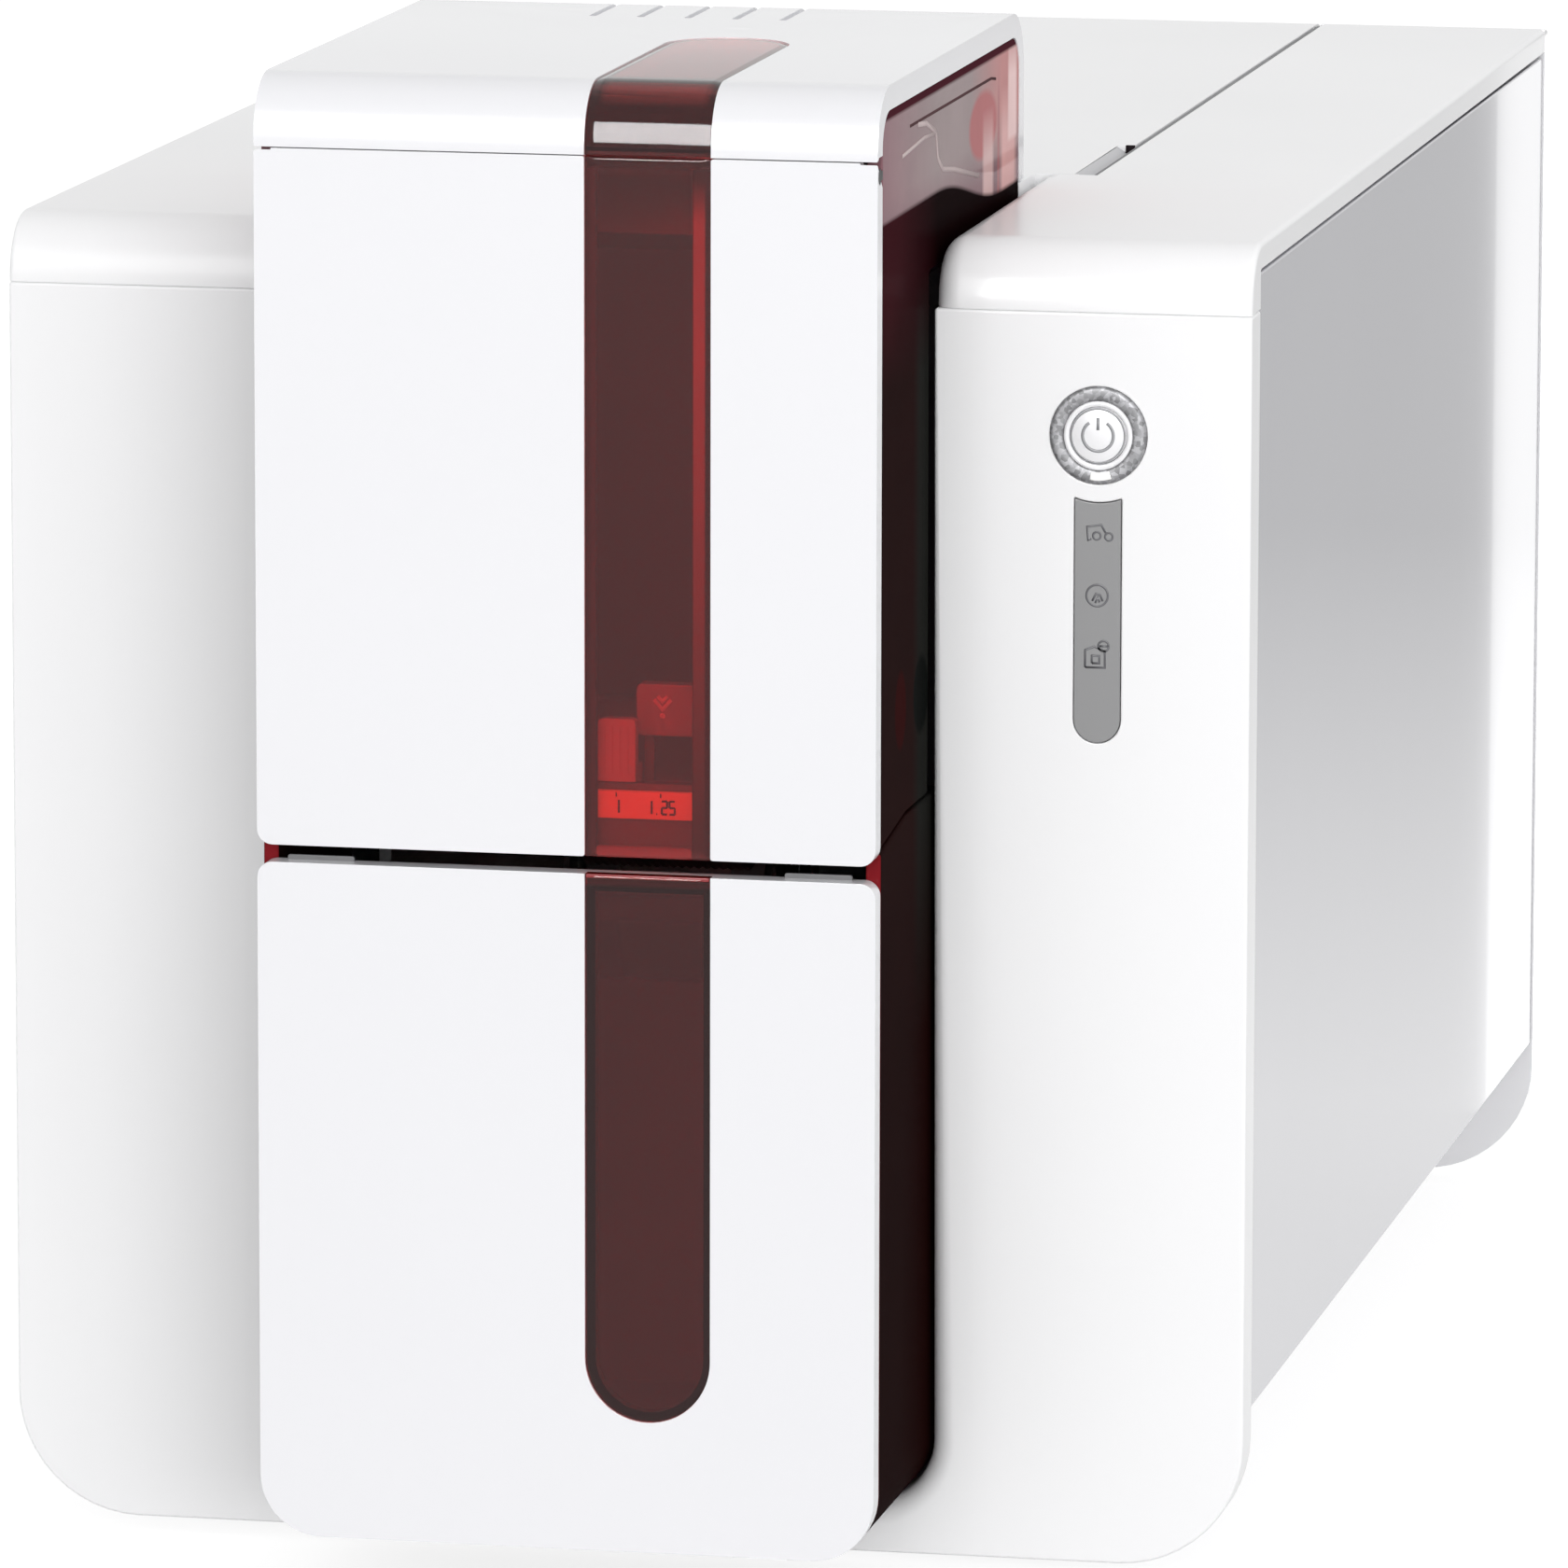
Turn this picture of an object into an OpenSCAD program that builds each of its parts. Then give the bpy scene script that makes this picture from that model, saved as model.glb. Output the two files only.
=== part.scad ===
// Desktop id card printer with a projecting card hood.
// Upper feeder door, lower output door, rear-hinged lid.
// X runs right as seen from the front, Y to the back, Z up.
// The origin is on the table, under the middle of the printer.

/* [Overall] */
// Width over the side panels
case_w = 205; // [195:1:225]
// Depth from the hood's front to the rear panel
case_d = 381; // [377:1:395]
// Height of the body's flat top above the table
body_h = 218.1; // [216:0.1:226]
// Height of the hood's top above the table
hood_h = 247; // [242:1:262]
// Height of the feet below the case
foot_h = 2.3; // [1.5:0.1:4]

/* [Case] */
// Wall of the moulded case pieces
wall = 2.5; // [2:0.1:3]
// Radius of the case's two lower corners, seen from the front
case_r = 20.5; // [14:0.5:24]
// Radius of the top front edge of the case
edge_r = 10; // [7:0.5:12]
// Radius of the casings' top edge beside the hood
inner_r = 4; // [3:0.5:5]
// Depth of the front frame, back to the side panels
frame_d = 8.2; // [6:0.2:12]
// Depth of the rear panel, and radius of its top edge
rear_r = 7.5; // [6.5:0.5:9]
// Height of the seam between the front frame and the top casings
seam_z = 207.2; // [200:0.2:208]
// Height of the casing's lip above a side panel
lip_h = 4.4; // [3.5:0.1:6]
// Height of a side panel's lower edge
panel_z = 27; // [22:1:36]
// Gap between neighbouring case pieces
gap = 0.4; // [0.3:0.05:0.6]
// Height of the base tray's walls
tray_h = 40; // [36:1:50]
// Distance of each foot's middle from the case's side
foot_in = 37; // [36.5:0.5:44]

/* [Hood] */
// Width of the hood
hood_w = 100.6; // [98:0.2:106]
// How far the hood stands out in front of the case
hood_reach = 44.3; // [40:0.5:48]
// Length of the hood's top
hood_l = 125.5; // [118:0.5:126]
// Height of the hood's lower edge above the table
hood_z = 11; // [9:0.5:16]
// Corner and edge radius of the hood
hood_r = 10; // [8:0.5:12]
// Thickness of the hood's white band
band_t = 4; // [3.5:0.1:5]
// Height of the band's front edge above the upper door
band_front = 10.4; // [10:0.2:14]
// Thickness of both doors
door_t = 4; // [3.6:0.1:5]
// Height of the gap between the two doors
door_split_z = 122.5; // [120:0.5:124]
// Opening between the two doors
door_split = 2.8; // [2:0.1:4]
// Corner radius of the doors at the gap
door_r = 2.5; // [1:0.5:4]
// Wall of the dark shroud at the hood's sides
shroud_t = 2.5; // [2:0.1:2.8]
// Number of grip ribs on the hood
grip_n = 5; // [3:1:6]
// Pitch of the grip ribs
grip_pitch = 8; // [6:0.5:8]

/* [Window strip] */
// Middle of the dark strip, right of the hood's middle
strip_x = 13.4; // [8:0.2:18]
// Width of the strip
strip_w = 20.4; // [16:0.2:24]
// Thickness of the strip
strip_t = 2; // [1.2:0.1:2]
// Ledge that carries the strip along each side
strip_ledge = 1.5; // [1:0.1:2.5]
// Height of the strip's round lower end
strip_z = 32.3; // [28:0.5:50]
// Length of the strip along the hood's top
strip_l = 70.5; // [50:0.5:85]

/* [Lid] */
// Width of the lid behind the hood
lid_w = 120; // [112:1:126]
// Distance from the hood's rear to the lid's front edge
lid_step = 10.2; // [8:0.2:14]
// Height of the lid's side skirts
skirt_h = 8; // [6:0.5:10]
// Radius of the lid's hinge pins
pin_r = 2; // [1.5:0.1:2.5]
// Length of each hinge pin
pin_l = 16; // [14:1:20]

/* [Controls] */
// Distance of the power button's middle from the case's side
button_in = 24.8; // [22:0.1:29]
// Height of the power button
button_z = 187.4; // [184:0.2:192]
// Diameter of the power button's cap
button_d = 10; // [8:0.2:11]
// Width of the ring around the button
ring_w = 2.3; // [1.8:0.1:2.8]
// Travel of the button
button_travel = 1.2; // [0.8:0.1:1.5]
// Width of the indicator strip
lamp_w = 7.6; // [6:0.2:9]
// Height of the indicator strip's round lower end
lamp_z = 137.5; // [130:0.5:150]

/* [Cards] */
// Length of a card
card_l = 85.6; // [85:0.1:87]
// Width of a card
card_w = 54; // [53:0.5:55]
// Play of the cards in the feeder and the output bin
card_play = 1.2; // [0.8:0.1:1.6]
// Height at which the cards lie and travel
path_z = 128; // [127.5:0.1:129]
// Height of the feeder above the card path
feeder_h = 82; // [76:1:84]
// Height of the output bin
bin_h = 86; // [70:1:88]
// Wall of the feeder and of the output bin
bin_t = 2; // [1.6:0.1:2.4]

/* [Drive] */
// Radius of the three card rollers
roller_r = 10; // [8:0.5:11]
// Radius of the roller shafts
shaft_r = 3; // [2.5:0.1:3.5]
// Distance from one roller to the next
roller_pitch = 36; // [32:1:40]
// Radius of the pulleys
pulley_r = 8; // [7:0.5:9]
// Width of a drive belt
belt_w = 3; // [2.4:0.1:3]
// Thickness of a drive belt
belt_t = 1.2; // [1:0.1:1.6]
// Thickness of the steel side plates
plate_t = 2; // [1.5:0.1:2.2]
// Radial clearance of shafts, pins and belts
run = 0.06; // [0.04:0.01:0.1]
// Radius of a ribbon spool's flanges
spool_r = 17; // [15:0.5:19]

/* [Hidden] */
$fn = 72;

// Main planes of the case
side_x = case_w / 2;
front_y = -case_d / 2;
rear_y = case_d / 2;
face_y = front_y + hood_reach;
panel_y = face_y + frame_d;
fascia_y = rear_y - rear_r;
hinge_z = body_h - rear_r;
button_x = side_x - button_in;

// Main planes of the hood
hood_x = hood_w / 2;
hood_y = front_y + hood_l;
band_z = hood_h - band_front;
door_y = front_y + door_t;
door_seam = 1.2;
inner_y = door_y + 0.2;
pivot_y = front_y + door_t / 2;
upper_pivot_z = band_z - door_seam - door_t / 2;
lower_pivot_z = hood_z + door_t / 2;
upper_door_z = door_split_z + door_split / 2;
lower_door_z = door_split_z - door_split / 2;
door_pin_r = 0.8;
door_lug = 2.8;
lid_y = hood_y + lid_step;
lid_x = lid_w / 2;
strip_r = strip_w / 2;

// Split line at the hood's sides, from the front to the case
split_front = door_split_z + 2.7;
split_rear = door_split_z + 5.4;
split_bend = inner_y + 21.3;

// Feeder and output bin
bin_x = 46;
bin_y = front_y + door_t + 2.5;
lip_t = 2.5;
card_y = bin_y + lip_t + 1.5;
card_end = card_y + card_l + card_play / 2;
bin_end = card_end + bin_t;
guide_x = (card_w + card_play) / 2;
floor_t = 3.5;
feeder_lip = 6.9;
bin_lip = 8;
bin_z = hood_z + wall + 0.3;

// Roller positions
plate_x = bin_x;
axis_z = path_z + 0.2 - roller_r;
pick_y = card_end - 17;
clean_y = pick_y + roller_pitch;
platen_y = clean_y + 2 * roller_pitch;
motor_behind = 24;
motor_y = platen_y + motor_behind;
motor_z = 80;
motor_r = 17;
motor_l = 36;
spool_z = 165;
takeup_ahead = 58;
takeup_y = platen_y - takeup_ahead;
supply_behind = 56;
supply_y = platen_y + supply_behind;
plate_behind = 20;
plate_end = supply_y + plate_behind;
plate_h = 185;
belt_pitch = belt_w + 1;

// Rear sockets: distance from the middle, width, height, depth
board_z = 14;
board_t = 1.6;
sockets = [[-60, 12, 10.6], [-32, 12, 11], [0, 16, 13.5]];
socket_d = 18;

// An outline with its own radius at each corner, counted from the lower left
module corner_cut(r) {
  difference() {
    translate([-1, -1])
      square(r + 1);
    translate([r, r])
      circle(r);
  }
}

module rounded(x0, y0, x1, y1, radii) {
  corners = [[x0, y0], [x1, y0], [x1, y1], [x0, y1]];
  difference() {
    translate([x0, y0])
      square([x1 - x0, y1 - y0]);
    for (i = [0 : 3])
      if (radii[i] > 0)
        translate(corners[i])
          rotate(90 * i)
            corner_cut(radii[i]);
  }
}

// Raises a front view (X and Z) into a solid between two depths
module front_solid(y0, y1) {
  translate([0, y1, 0])
    rotate([90, 0, 0])
      linear_extrude(y1 - y0)
        children();
}

// Raises a side view (Y and Z) into a solid between two widths
module side_solid(x0, x1) {
  translate([x0, 0, 0])
    rotate([90, 0, 90])
      linear_extrude(x1 - x0)
        children();
}

module block(x0, y0, z0, x1, y1, z1) {
  translate([x0, y0, z0])
    cube([x1 - x0, y1 - y0, z1 - z0]);
}

// A round bar across the printer
module bar(x0, x1, y, z, r) {
  translate([x0, y, z])
    rotate([0, 90, 0])
      cylinder(h = x1 - x0, r = r);
}

// Repeats a right-hand piece on the left
module on_side(s) {
  mirror([s < 0 ? 1 : 0, 0, 0])
    children();
}

// ---- case ----

module case_outline(inset, top) {
  rounded(-side_x + inset, foot_h + inset, side_x - inset, top,
    [case_r - inset, case_r - inset, 0, 0]);
}

module hood_outline(grow, top) {
  rounded(-hood_x - grow, hood_z - grow, hood_x + grow, top, [hood_r + grow, hood_r + grow, 0, 0]);
}

module ring_hole(y0, y1, clearance) {
  translate([button_x, y1, button_z])
    rotate([90, 0, 0])
      cylinder(h = y1 - y0, r = button_d / 2 + 0.3 + ring_w + clearance);
}

// The indicator strip ends in a hollow round under the button's ring
module lamp_outline(clearance) {
  r = lamp_w / 2 + clearance;
  difference() {
    union() {
      translate([button_x - r, lamp_z + lamp_w / 2])
        square([2 * r, button_z - lamp_z - lamp_w / 2]);
      translate([button_x, lamp_z + lamp_w / 2])
        circle(r);
    }
    translate([button_x, button_z])
      circle(button_d / 2 + 0.3 + ring_w + 3.3 - clearance);
  }
}

board_posts = [[button_x - 9, lamp_z - 4], [button_x + 9, lamp_z - 4], [button_x + 9, lamp_z + 40]];

module front_frame() {
  color("#F4F4F6") {
    difference() {
      front_solid(face_y, panel_y)
        case_outline(0, seam_z);
      block(-side_x + wall, face_y + wall, panel_z, side_x - wall, panel_y + 1, seam_z + 1);
      front_solid(face_y - 1, panel_y + 1)
        hood_outline(gap + 0.2, seam_z + 1);
      ring_hole(face_y - 1, panel_y, 0.05);
      front_solid(face_y - 1, panel_y)
        lamp_outline(0.05);
    }
    for (p = board_posts)
      translate([p[0], panel_y - 1, p[1]])
        rotate([90, 0, 0])
          cylinder(h = frame_d - wall - 1, r = 2.5);
  }
}

// Half of the top, from the front edge to the rear panel
module casing_plan(inset) {
  difference() {
    translate([hood_x + gap + 0.2 + inset, face_y])
      square([side_x - hood_x - gap - 0.2 - 2 * inset, fascia_y - face_y + inset]);
    translate([0, lid_y - gap - inset])
      square([lid_x + gap + inset, fascia_y - face_y]);
  }
}

module casing_core(inset) {
  intersection() {
    translate([0, 0, seam_z - inset])
      linear_extrude(body_h - seam_z)
        casing_plan(inset);
    side_solid(0, side_x)
      rounded(face_y + inset, seam_z - 2 * inset, fascia_y + inset, body_h - inset, [0, 0, 0, edge_r - inset]);
  }
}

module casing(s) {
  color("#ECECEC")
    on_side(s)
      difference() {
        casing_core(0);
        casing_core(wall);
        block(side_x - wall - 1, panel_y, seam_z - 1, side_x + 1, fascia_y + 1, body_h - lip_h);
        front_solid(face_y - 1, lid_y - gap - wall)
          translate([hood_x + gap + 0.2, body_h])
            rotate(270)
              corner_cut(inner_r);
        pin_seat();
      }
}

// Half of the seat that holds a hinge pin; the rear panel has the other half
module pin_seat() {
  bar(lid_x, lid_x + 2 * wall + 0.2, fascia_y, hinge_z, pin_r + 0.02);
}

module left_casing() {
  casing(-1);
}

module right_casing() {
  casing(1);
}

module side_panel(s) {
  color("#D2D2D6")
    on_side(s)
      block(side_x - 0.3 - wall, panel_y + gap, panel_z, side_x - 0.3, fascia_y - gap, body_h - lip_h - gap);
}

module left_side_panel() {
  side_panel(-1);
}

module right_side_panel() {
  side_panel(1);
}

module socket_holes(y0, y1, clearance) {
  for (s = sockets)
    block(s[0] - s[1] / 2 - clearance, y0, board_z + board_t - clearance,
      s[0] + s[1] / 2 + clearance, y1, board_z + board_t + s[2] + clearance);
}

module rear_panel() {
  color("#E6E6E8")
    difference() {
      intersection() {
        front_solid(fascia_y, rear_y)
          case_outline(0, body_h);
        side_solid(-side_x, side_x)
          rounded(fascia_y - 1, 0, rear_y, body_h, [0, 0, rear_r - 0.01, 0]);
      }
      block(-side_x + wall, fascia_y - 1, panel_z, side_x - wall, rear_y - wall, body_h - rear_r - wall);
      block(-lid_x - gap, fascia_y - 1, hinge_z - rear_r - 0.5, lid_x + gap, rear_y + 1, body_h + 1);
      socket_holes(fascia_y, rear_y + 1, 0.3);
      block(-guide_x - 1, fascia_y, path_z - 1, guide_x + 1, rear_y + 1, path_z + 2.5);
      for (s = [-1, 1])
        on_side(s)
          pin_seat();
    }
}

tray_x = side_x - 0.3 - wall - gap;
tray_cut = panel_z - foot_h;
foot_r = 9;
foot_x = side_x - foot_in;
foot_y = [panel_y + 16, fascia_y - 18];
board_x = 75;
rail_x = board_x - 6;

// Front view of the tray, bevelled along both lower edges
module tray_outline(inset, top) {
  x = tray_x - inset;
  z = foot_h + inset;
  cut = tray_cut - inset * (2 - sqrt(2));
  polygon([[-x, top], [-x, z + cut], [-x + cut, z], [x - cut, z], [x, z + cut], [x, top]]);
}

module base_tray() {
  color("#D8D8DA") {
    difference() {
      front_solid(panel_y, fascia_y)
        tray_outline(0, tray_h);
      front_solid(panel_y + wall, fascia_y - wall)
        tray_outline(wall, tray_h + 1);
      block(-hood_x - 0.6, panel_y - 1, hood_z - 0.6, hood_x + 0.6, panel_y + wall + 1, tray_h + 1);
      // notch in the rear wall, behind the sockets
      block(-board_x + 4, fascia_y - wall - 1, board_z - 1, board_x - 4, fascia_y + 1, tray_h + 1);
    }
    // rails that carry the main board
    for (x = [-rail_x, rail_x])
      block(x - 3, board_y, foot_h + wall - 0.5, x + 3, fascia_y - wall, board_z);
  }
}

module foot(x, y) {
  color("#2A2A2C")
    translate([x, y, 0])
      cylinder(h = foot_h, r = foot_r);
}

module foot_front_left() {
  foot(-foot_x, foot_y[0]);
}

module foot_front_right() {
  foot(foot_x, foot_y[0]);
}

module foot_rear_left() {
  foot(-foot_x, foot_y[1]);
}

module foot_rear_right() {
  foot(foot_x, foot_y[1]);
}

// ---- lower hood ----

shroud_end = panel_y + 2;

module shroud_side() {
  polygon([
    [inner_y, hood_z - 1], [shroud_end, hood_z - 1], [shroud_end, split_rear],
    [split_bend, split_rear], [inner_y, split_front]
  ]);
}

module hopper_shroud() {
  color("#5A2A2C")
    intersection() {
      difference() {
        front_solid(inner_y, shroud_end)
          hood_outline(0, split_rear + 1);
        front_solid(inner_y - 1, shroud_end + 1)
          hood_outline(-shroud_t, split_rear + 2);
      }
      side_solid(-hood_x - 1, hood_x + 1)
        shroud_side();
    }
}

// A card bin: two guide walls inside an outer box, open to the front above a lip
module card_bin(z0, z1, lip) {
  difference() {
    block(-bin_x, bin_y, z0, bin_x, bin_end, z1);
    block(-guide_x, bin_y + lip_t, z0 + floor_t, guide_x, card_end, z1 + 1);
    block(-guide_x, bin_y - 1, z0 + floor_t + lip, guide_x, bin_y + lip_t + 1, z1 + 1);
    for (s = [-1, 1])
      on_side(s)
        block(guide_x + bin_t, bin_y + bin_t, z0 + floor_t, bin_x - bin_t, card_end, z1 + 1);
  }
}

module output_bin() {
  color("#3A3A3E")
    intersection() {
      difference() {
        card_bin(bin_z, bin_z + bin_h, bin_lip);
        block(-guide_x, card_end - 1, bin_z + bin_h - 14, guide_x, bin_end + 1, bin_z + bin_h - 4);
      }
      front_solid(bin_y - 1, bin_end + 1)
        hood_outline(-shroud_t - 0.3, bin_z + bin_h + 1);
    }
}

module feeder_tray() {
  z0 = path_z - floor_t;
  color("#3A3A3E")
    difference() {
      card_bin(z0, path_z + feeder_h, feeder_lip);
      // slot for one card at a time, and the window of the pick roller
      block(-guide_x, card_end - 1, path_z - 0.5, guide_x, bin_end + 1, path_z + 3);
      block(-16, pick_y - 11, z0 - 1, 16, pick_y + 11, path_z + 1);
      // oval windows in the side walls
      for (y = [bin_y + 9, bin_y + 24])
        side_solid(-bin_x - 1, bin_x + 1)
          union() {
            translate([y - 2.5, path_z + 11.5])
              square([5, 5]);
            translate([y, path_z + 11.5])
              circle(2.5);
            translate([y, path_z + 16.5])
              circle(2.5);
          }
    }
}

scale_z = path_z + 1.4;
scale_h = 4.4;
mark_pitch = 7.2;
lever_x = 7.4;
lever_w = 6.1;
scale_past = 9;

module card_scale() {
  color("#D04A38")
    block(lever_x - 3 * mark_pitch - 5, bin_y - 1.4, scale_z, lever_x + mark_pitch + scale_past, bin_y,
      scale_z + scale_h);
}

// ---- frame plates and rollers ----

module plate_outline() {
  difference() {
    polygon([
      [pick_y - 14, bin_z + bin_h + 3], [bin_end + gap, bin_z + bin_h + 3], [bin_end + gap, foot_h + wall],
      [plate_end, foot_h + wall], [plate_end, plate_h], [bin_end + gap, plate_h],
      [bin_end + gap, path_z - floor_t], [pick_y - 14, path_z - floor_t]
    ]);
    for (y = [pick_y, clean_y, platen_y])
      translate([y, axis_z])
        circle(shaft_r + run);
    for (y = [takeup_y, supply_y])
      translate([y, spool_z])
        circle(4 + run);
    translate([motor_y, motor_z])
      circle(6);
    translate([clean_y + roller_pitch, 60])
      circle(14);
  }
}

module left_plate() {
  color("#B8BCC0")
    side_solid(-plate_x, -plate_x + plate_t)
      plate_outline();
}

module right_plate() {
  color("#B8BCC0")
    side_solid(plate_x - plate_t, plate_x)
      plate_outline();
}

module roller_shaft(y, first, last) {
  bar(-plate_x - 1 - belt_pitch * last, plate_x + 1.5, y, axis_z, shaft_r);
  bar(-plate_x - 1 - belt_pitch * last, -plate_x - 1 - belt_pitch * first, y, axis_z, pulley_r);
}

module roller_sleeve(y, half) {
  difference() {
    bar(-half, half, y, axis_z, roller_r);
    bar(-half - 1, half + 1, y, axis_z, shaft_r);
  }
}

module platen_shaft() {
  color("#C8CACC")
    roller_shaft(platen_y, 1, 3);
}

module platen_roller() {
  color("#303234")
    roller_sleeve(platen_y, guide_x);
}

module cleaning_shaft() {
  color("#C8CACC")
    roller_shaft(clean_y, 0, 2);
}

module cleaning_roller() {
  color("#C85A50")
    roller_sleeve(clean_y, guide_x);
}

module pick_shaft() {
  color("#C8CACC")
    roller_shaft(pick_y, 0, 1);
}

module pick_roller() {
  color("#303234")
    roller_sleeve(pick_y, 14);
}

// A belt round two pulleys of equal size
module belt(y0, z0, y1, z1, plane) {
  length = sqrt(pow(y1 - y0, 2) + pow(z1 - z0, 2));
  inner = pulley_r + run;
  x0 = -plate_x - 1.5 - belt_pitch * plane - belt_w;
  color("#1E1E20")
    side_solid(x0, x0 + belt_w)
      translate([y0, z0])
        rotate(atan2(z1 - z0, y1 - y0))
          difference() {
            union() {
              circle(inner + belt_t);
              translate([length, 0])
                circle(inner + belt_t);
              translate([0, -inner - belt_t])
                square([length, 2 * (inner + belt_t)]);
            }
            circle(inner);
            translate([length, 0])
              circle(inner);
            translate([0, -inner])
              square([length, 2 * inner]);
          }
}

module motor_belt() {
  belt(motor_y, motor_z, platen_y, axis_z, 2);
}

module platen_belt() {
  belt(clean_y, axis_z, platen_y, axis_z, 1);
}

module pick_belt() {
  belt(pick_y, axis_z, clean_y, axis_z, 0);
}

module drive_motor() {
  color("#8A8D90")
    bar(-plate_x + plate_t, -plate_x + plate_t + motor_l, motor_y, motor_z, motor_r);
}

module motor_pulley() {
  color("#C8CACC") {
    bar(-plate_x - 1 - 3 * belt_pitch, -plate_x + plate_t - 0.1, motor_y, motor_z, 2.5);
    bar(-plate_x - 1 - 3 * belt_pitch, -plate_x - 1 - 2 * belt_pitch, motor_y, motor_z, pulley_r);
  }
}

module spool(y) {
  color("#2C2C30") {
    bar(-plate_x - 0.5, plate_x + 0.5, y, spool_z, 4);
    bar(-guide_x - 3, guide_x + 3, y, spool_z, spool_r - 3);
    for (x = [-guide_x - 5, guide_x + 3])
      bar(x, x + 2, y, spool_z, spool_r);
  }
}

module ribbon_supply() {
  spool(supply_y);
}

module ribbon_takeup() {
  spool(takeup_y);
}

// ---- boards, sockets and controls ----

board_y = plate_end + 4;
chip = [28, 28, 3];
chip_at = [-20, 15];
plug_block = [30, 12, 9];
plug_at = [30, 10];

// A part that stands on the main board
module on_board(at, size) {
  translate([at[0], board_y + at[1], board_z + board_t])
    cube(size);
}

module main_board() {
  color("#2E6B3E")
    difference() {
      union() {
        block(-board_x, board_y, board_z, board_x, fascia_y - wall - gap, board_z + board_t);
        on_board(chip_at, chip);
        on_board(plug_at, plug_block);
      }
      for (x = [-rail_x, rail_x], y = [board_y + 6, fascia_y - wall - 9])
        translate([x, y, board_z - 1])
          cylinder(h = board_t + 2, r = 1.5);
    }
}

// A socket's shell, open to the rear
module socket(i, bore_w, bore_h, depth) {
  s = sockets[i];
  z0 = board_z + board_t;
  difference() {
    block(s[0] - s[1] / 2, rear_y - 0.3 - socket_d, z0, s[0] + s[1] / 2, rear_y - 0.3, z0 + s[2]);
    block(s[0] - bore_w / 2, rear_y - depth, z0 + (s[2] - bore_h) / 2,
      s[0] + bore_w / 2, rear_y, z0 + (s[2] + bore_h) / 2);
  }
}

module power_socket() {
  s = sockets[0];
  z0 = board_z + board_t;
  color("#1C1C1E")
    difference() {
      block(s[0] - s[1] / 2, rear_y - 0.3 - socket_d, z0, s[0] + s[1] / 2, rear_y - 0.3, z0 + s[2]);
      translate([s[0], rear_y, z0 + s[2] / 2])
        rotate([90, 0, 0])
          cylinder(h = 12, r = 4);
    }
}

module usb_socket() {
  color("#C0C2C4")
    socket(1, 8.6, 7.8, 12);
}

module network_socket() {
  color("#C0C2C4")
    socket(2, 12, 8, 13);
}

module control_board() {
  color("#2E6B3E")
    block(button_x - 12, panel_y - 1, lamp_z - 8, button_x + 12, panel_y + 0.6, button_z + 8);
}

module button_ring() {
  inner = button_d / 2 + 0.3;
  color("#C9CBCE")
    translate([button_x, face_y - 0.6, button_z])
      rotate([-90, 0, 0])
        difference() {
          cylinder(h = wall + 1.6, r = inner + ring_w);
          translate([0, 0, -1])
            cylinder(h = wall + 4, r = inner);
        }
}

module indicator_strip() {
  color("#9B9B9D")
    front_solid(face_y - 0.2, panel_y - 1)
      lamp_outline(0);
}

module power_button() {
  color("#F6F6F8")
    translate([button_x, face_y - 0.4, button_z])
      rotate([-90, 0, 0]) {
        cylinder(h = wall + 1, r = button_d / 2);
        cylinder(h = frame_d - button_travel - 0.9, r = 2);
      }
}

// ---- lid ----

module lid_plan() {
  translate([-lid_x, lid_y])
    square([2 * lid_x, fascia_y - lid_y]);
  translate([-hood_x, face_y - gap])
    square([2 * hood_x, lid_y - face_y + gap]);
}

// The lid's rear edge rolls down around its hinge
module lid_curl() {
  difference() {
    circle(rear_r);
    circle(rear_r - wall);
    translate([-2 * rear_r, -2 * rear_r])
      square([2 * rear_r, 4 * rear_r]);
    rotate(-40)
      translate([-rear_r, -2 * rear_r])
        square([3 * rear_r, 2 * rear_r]);
  }
}

module lid_panel() {
  color("#ECECEC")
    difference() {
      union() {
        translate([0, 0, body_h - wall])
          linear_extrude(wall)
            lid_plan();
        for (s = [-1, 1])
          on_side(s) {
            block(lid_x - wall, lid_y, body_h - skirt_h, lid_x, fascia_y, body_h - 1);
            bar(lid_x - 2 * wall, lid_x, fascia_y, hinge_z, rear_r);
          }
        side_solid(-lid_x, lid_x)
          translate([fascia_y, hinge_z])
            lid_curl();
      }
      bar(-lid_x - 1, lid_x + 1, fascia_y, hinge_z, pin_r + run);
    }
}

module lid_pin(s) {
  color("#A8ABAE")
    on_side(s)
      bar(lid_x + 2 * wall - pin_l, lid_x + 2 * wall, fascia_y, hinge_z, pin_r);
}

module lid_pin_left() {
  lid_pin(-1);
}

module lid_pin_right() {
  lid_pin(1);
}

// Side view of the hood's band: front edge, top and rear wall
module band_profile(t) {
  difference() {
    rounded(front_y, body_h, hood_y, hood_h, [0, 0, hood_r, hood_r]);
    rounded(front_y + t, body_h - 1, hood_y - t, hood_h - t, [0, 0, hood_r - t, hood_r - t]);
    translate([front_y - 1, body_h - 1])
      square([t + 2, band_z - body_h + 1]);
  }
}

module strip_plan(grow) {
  end_y = front_y + strip_l - strip_r;
  translate([strip_x - strip_r - grow, front_y - 1])
    square([strip_w + 2 * grow, end_y - front_y + 1]);
  translate([strip_x, end_y])
    circle(strip_r + grow);
}

module strip_top(grow) {
  translate([0, 0, band_z - 1])
    linear_extrude(hood_h - band_z + 2)
      strip_plan(grow);
}

grip_l = 24;
grip_w = 1.2;
grip_x = -17;

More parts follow.
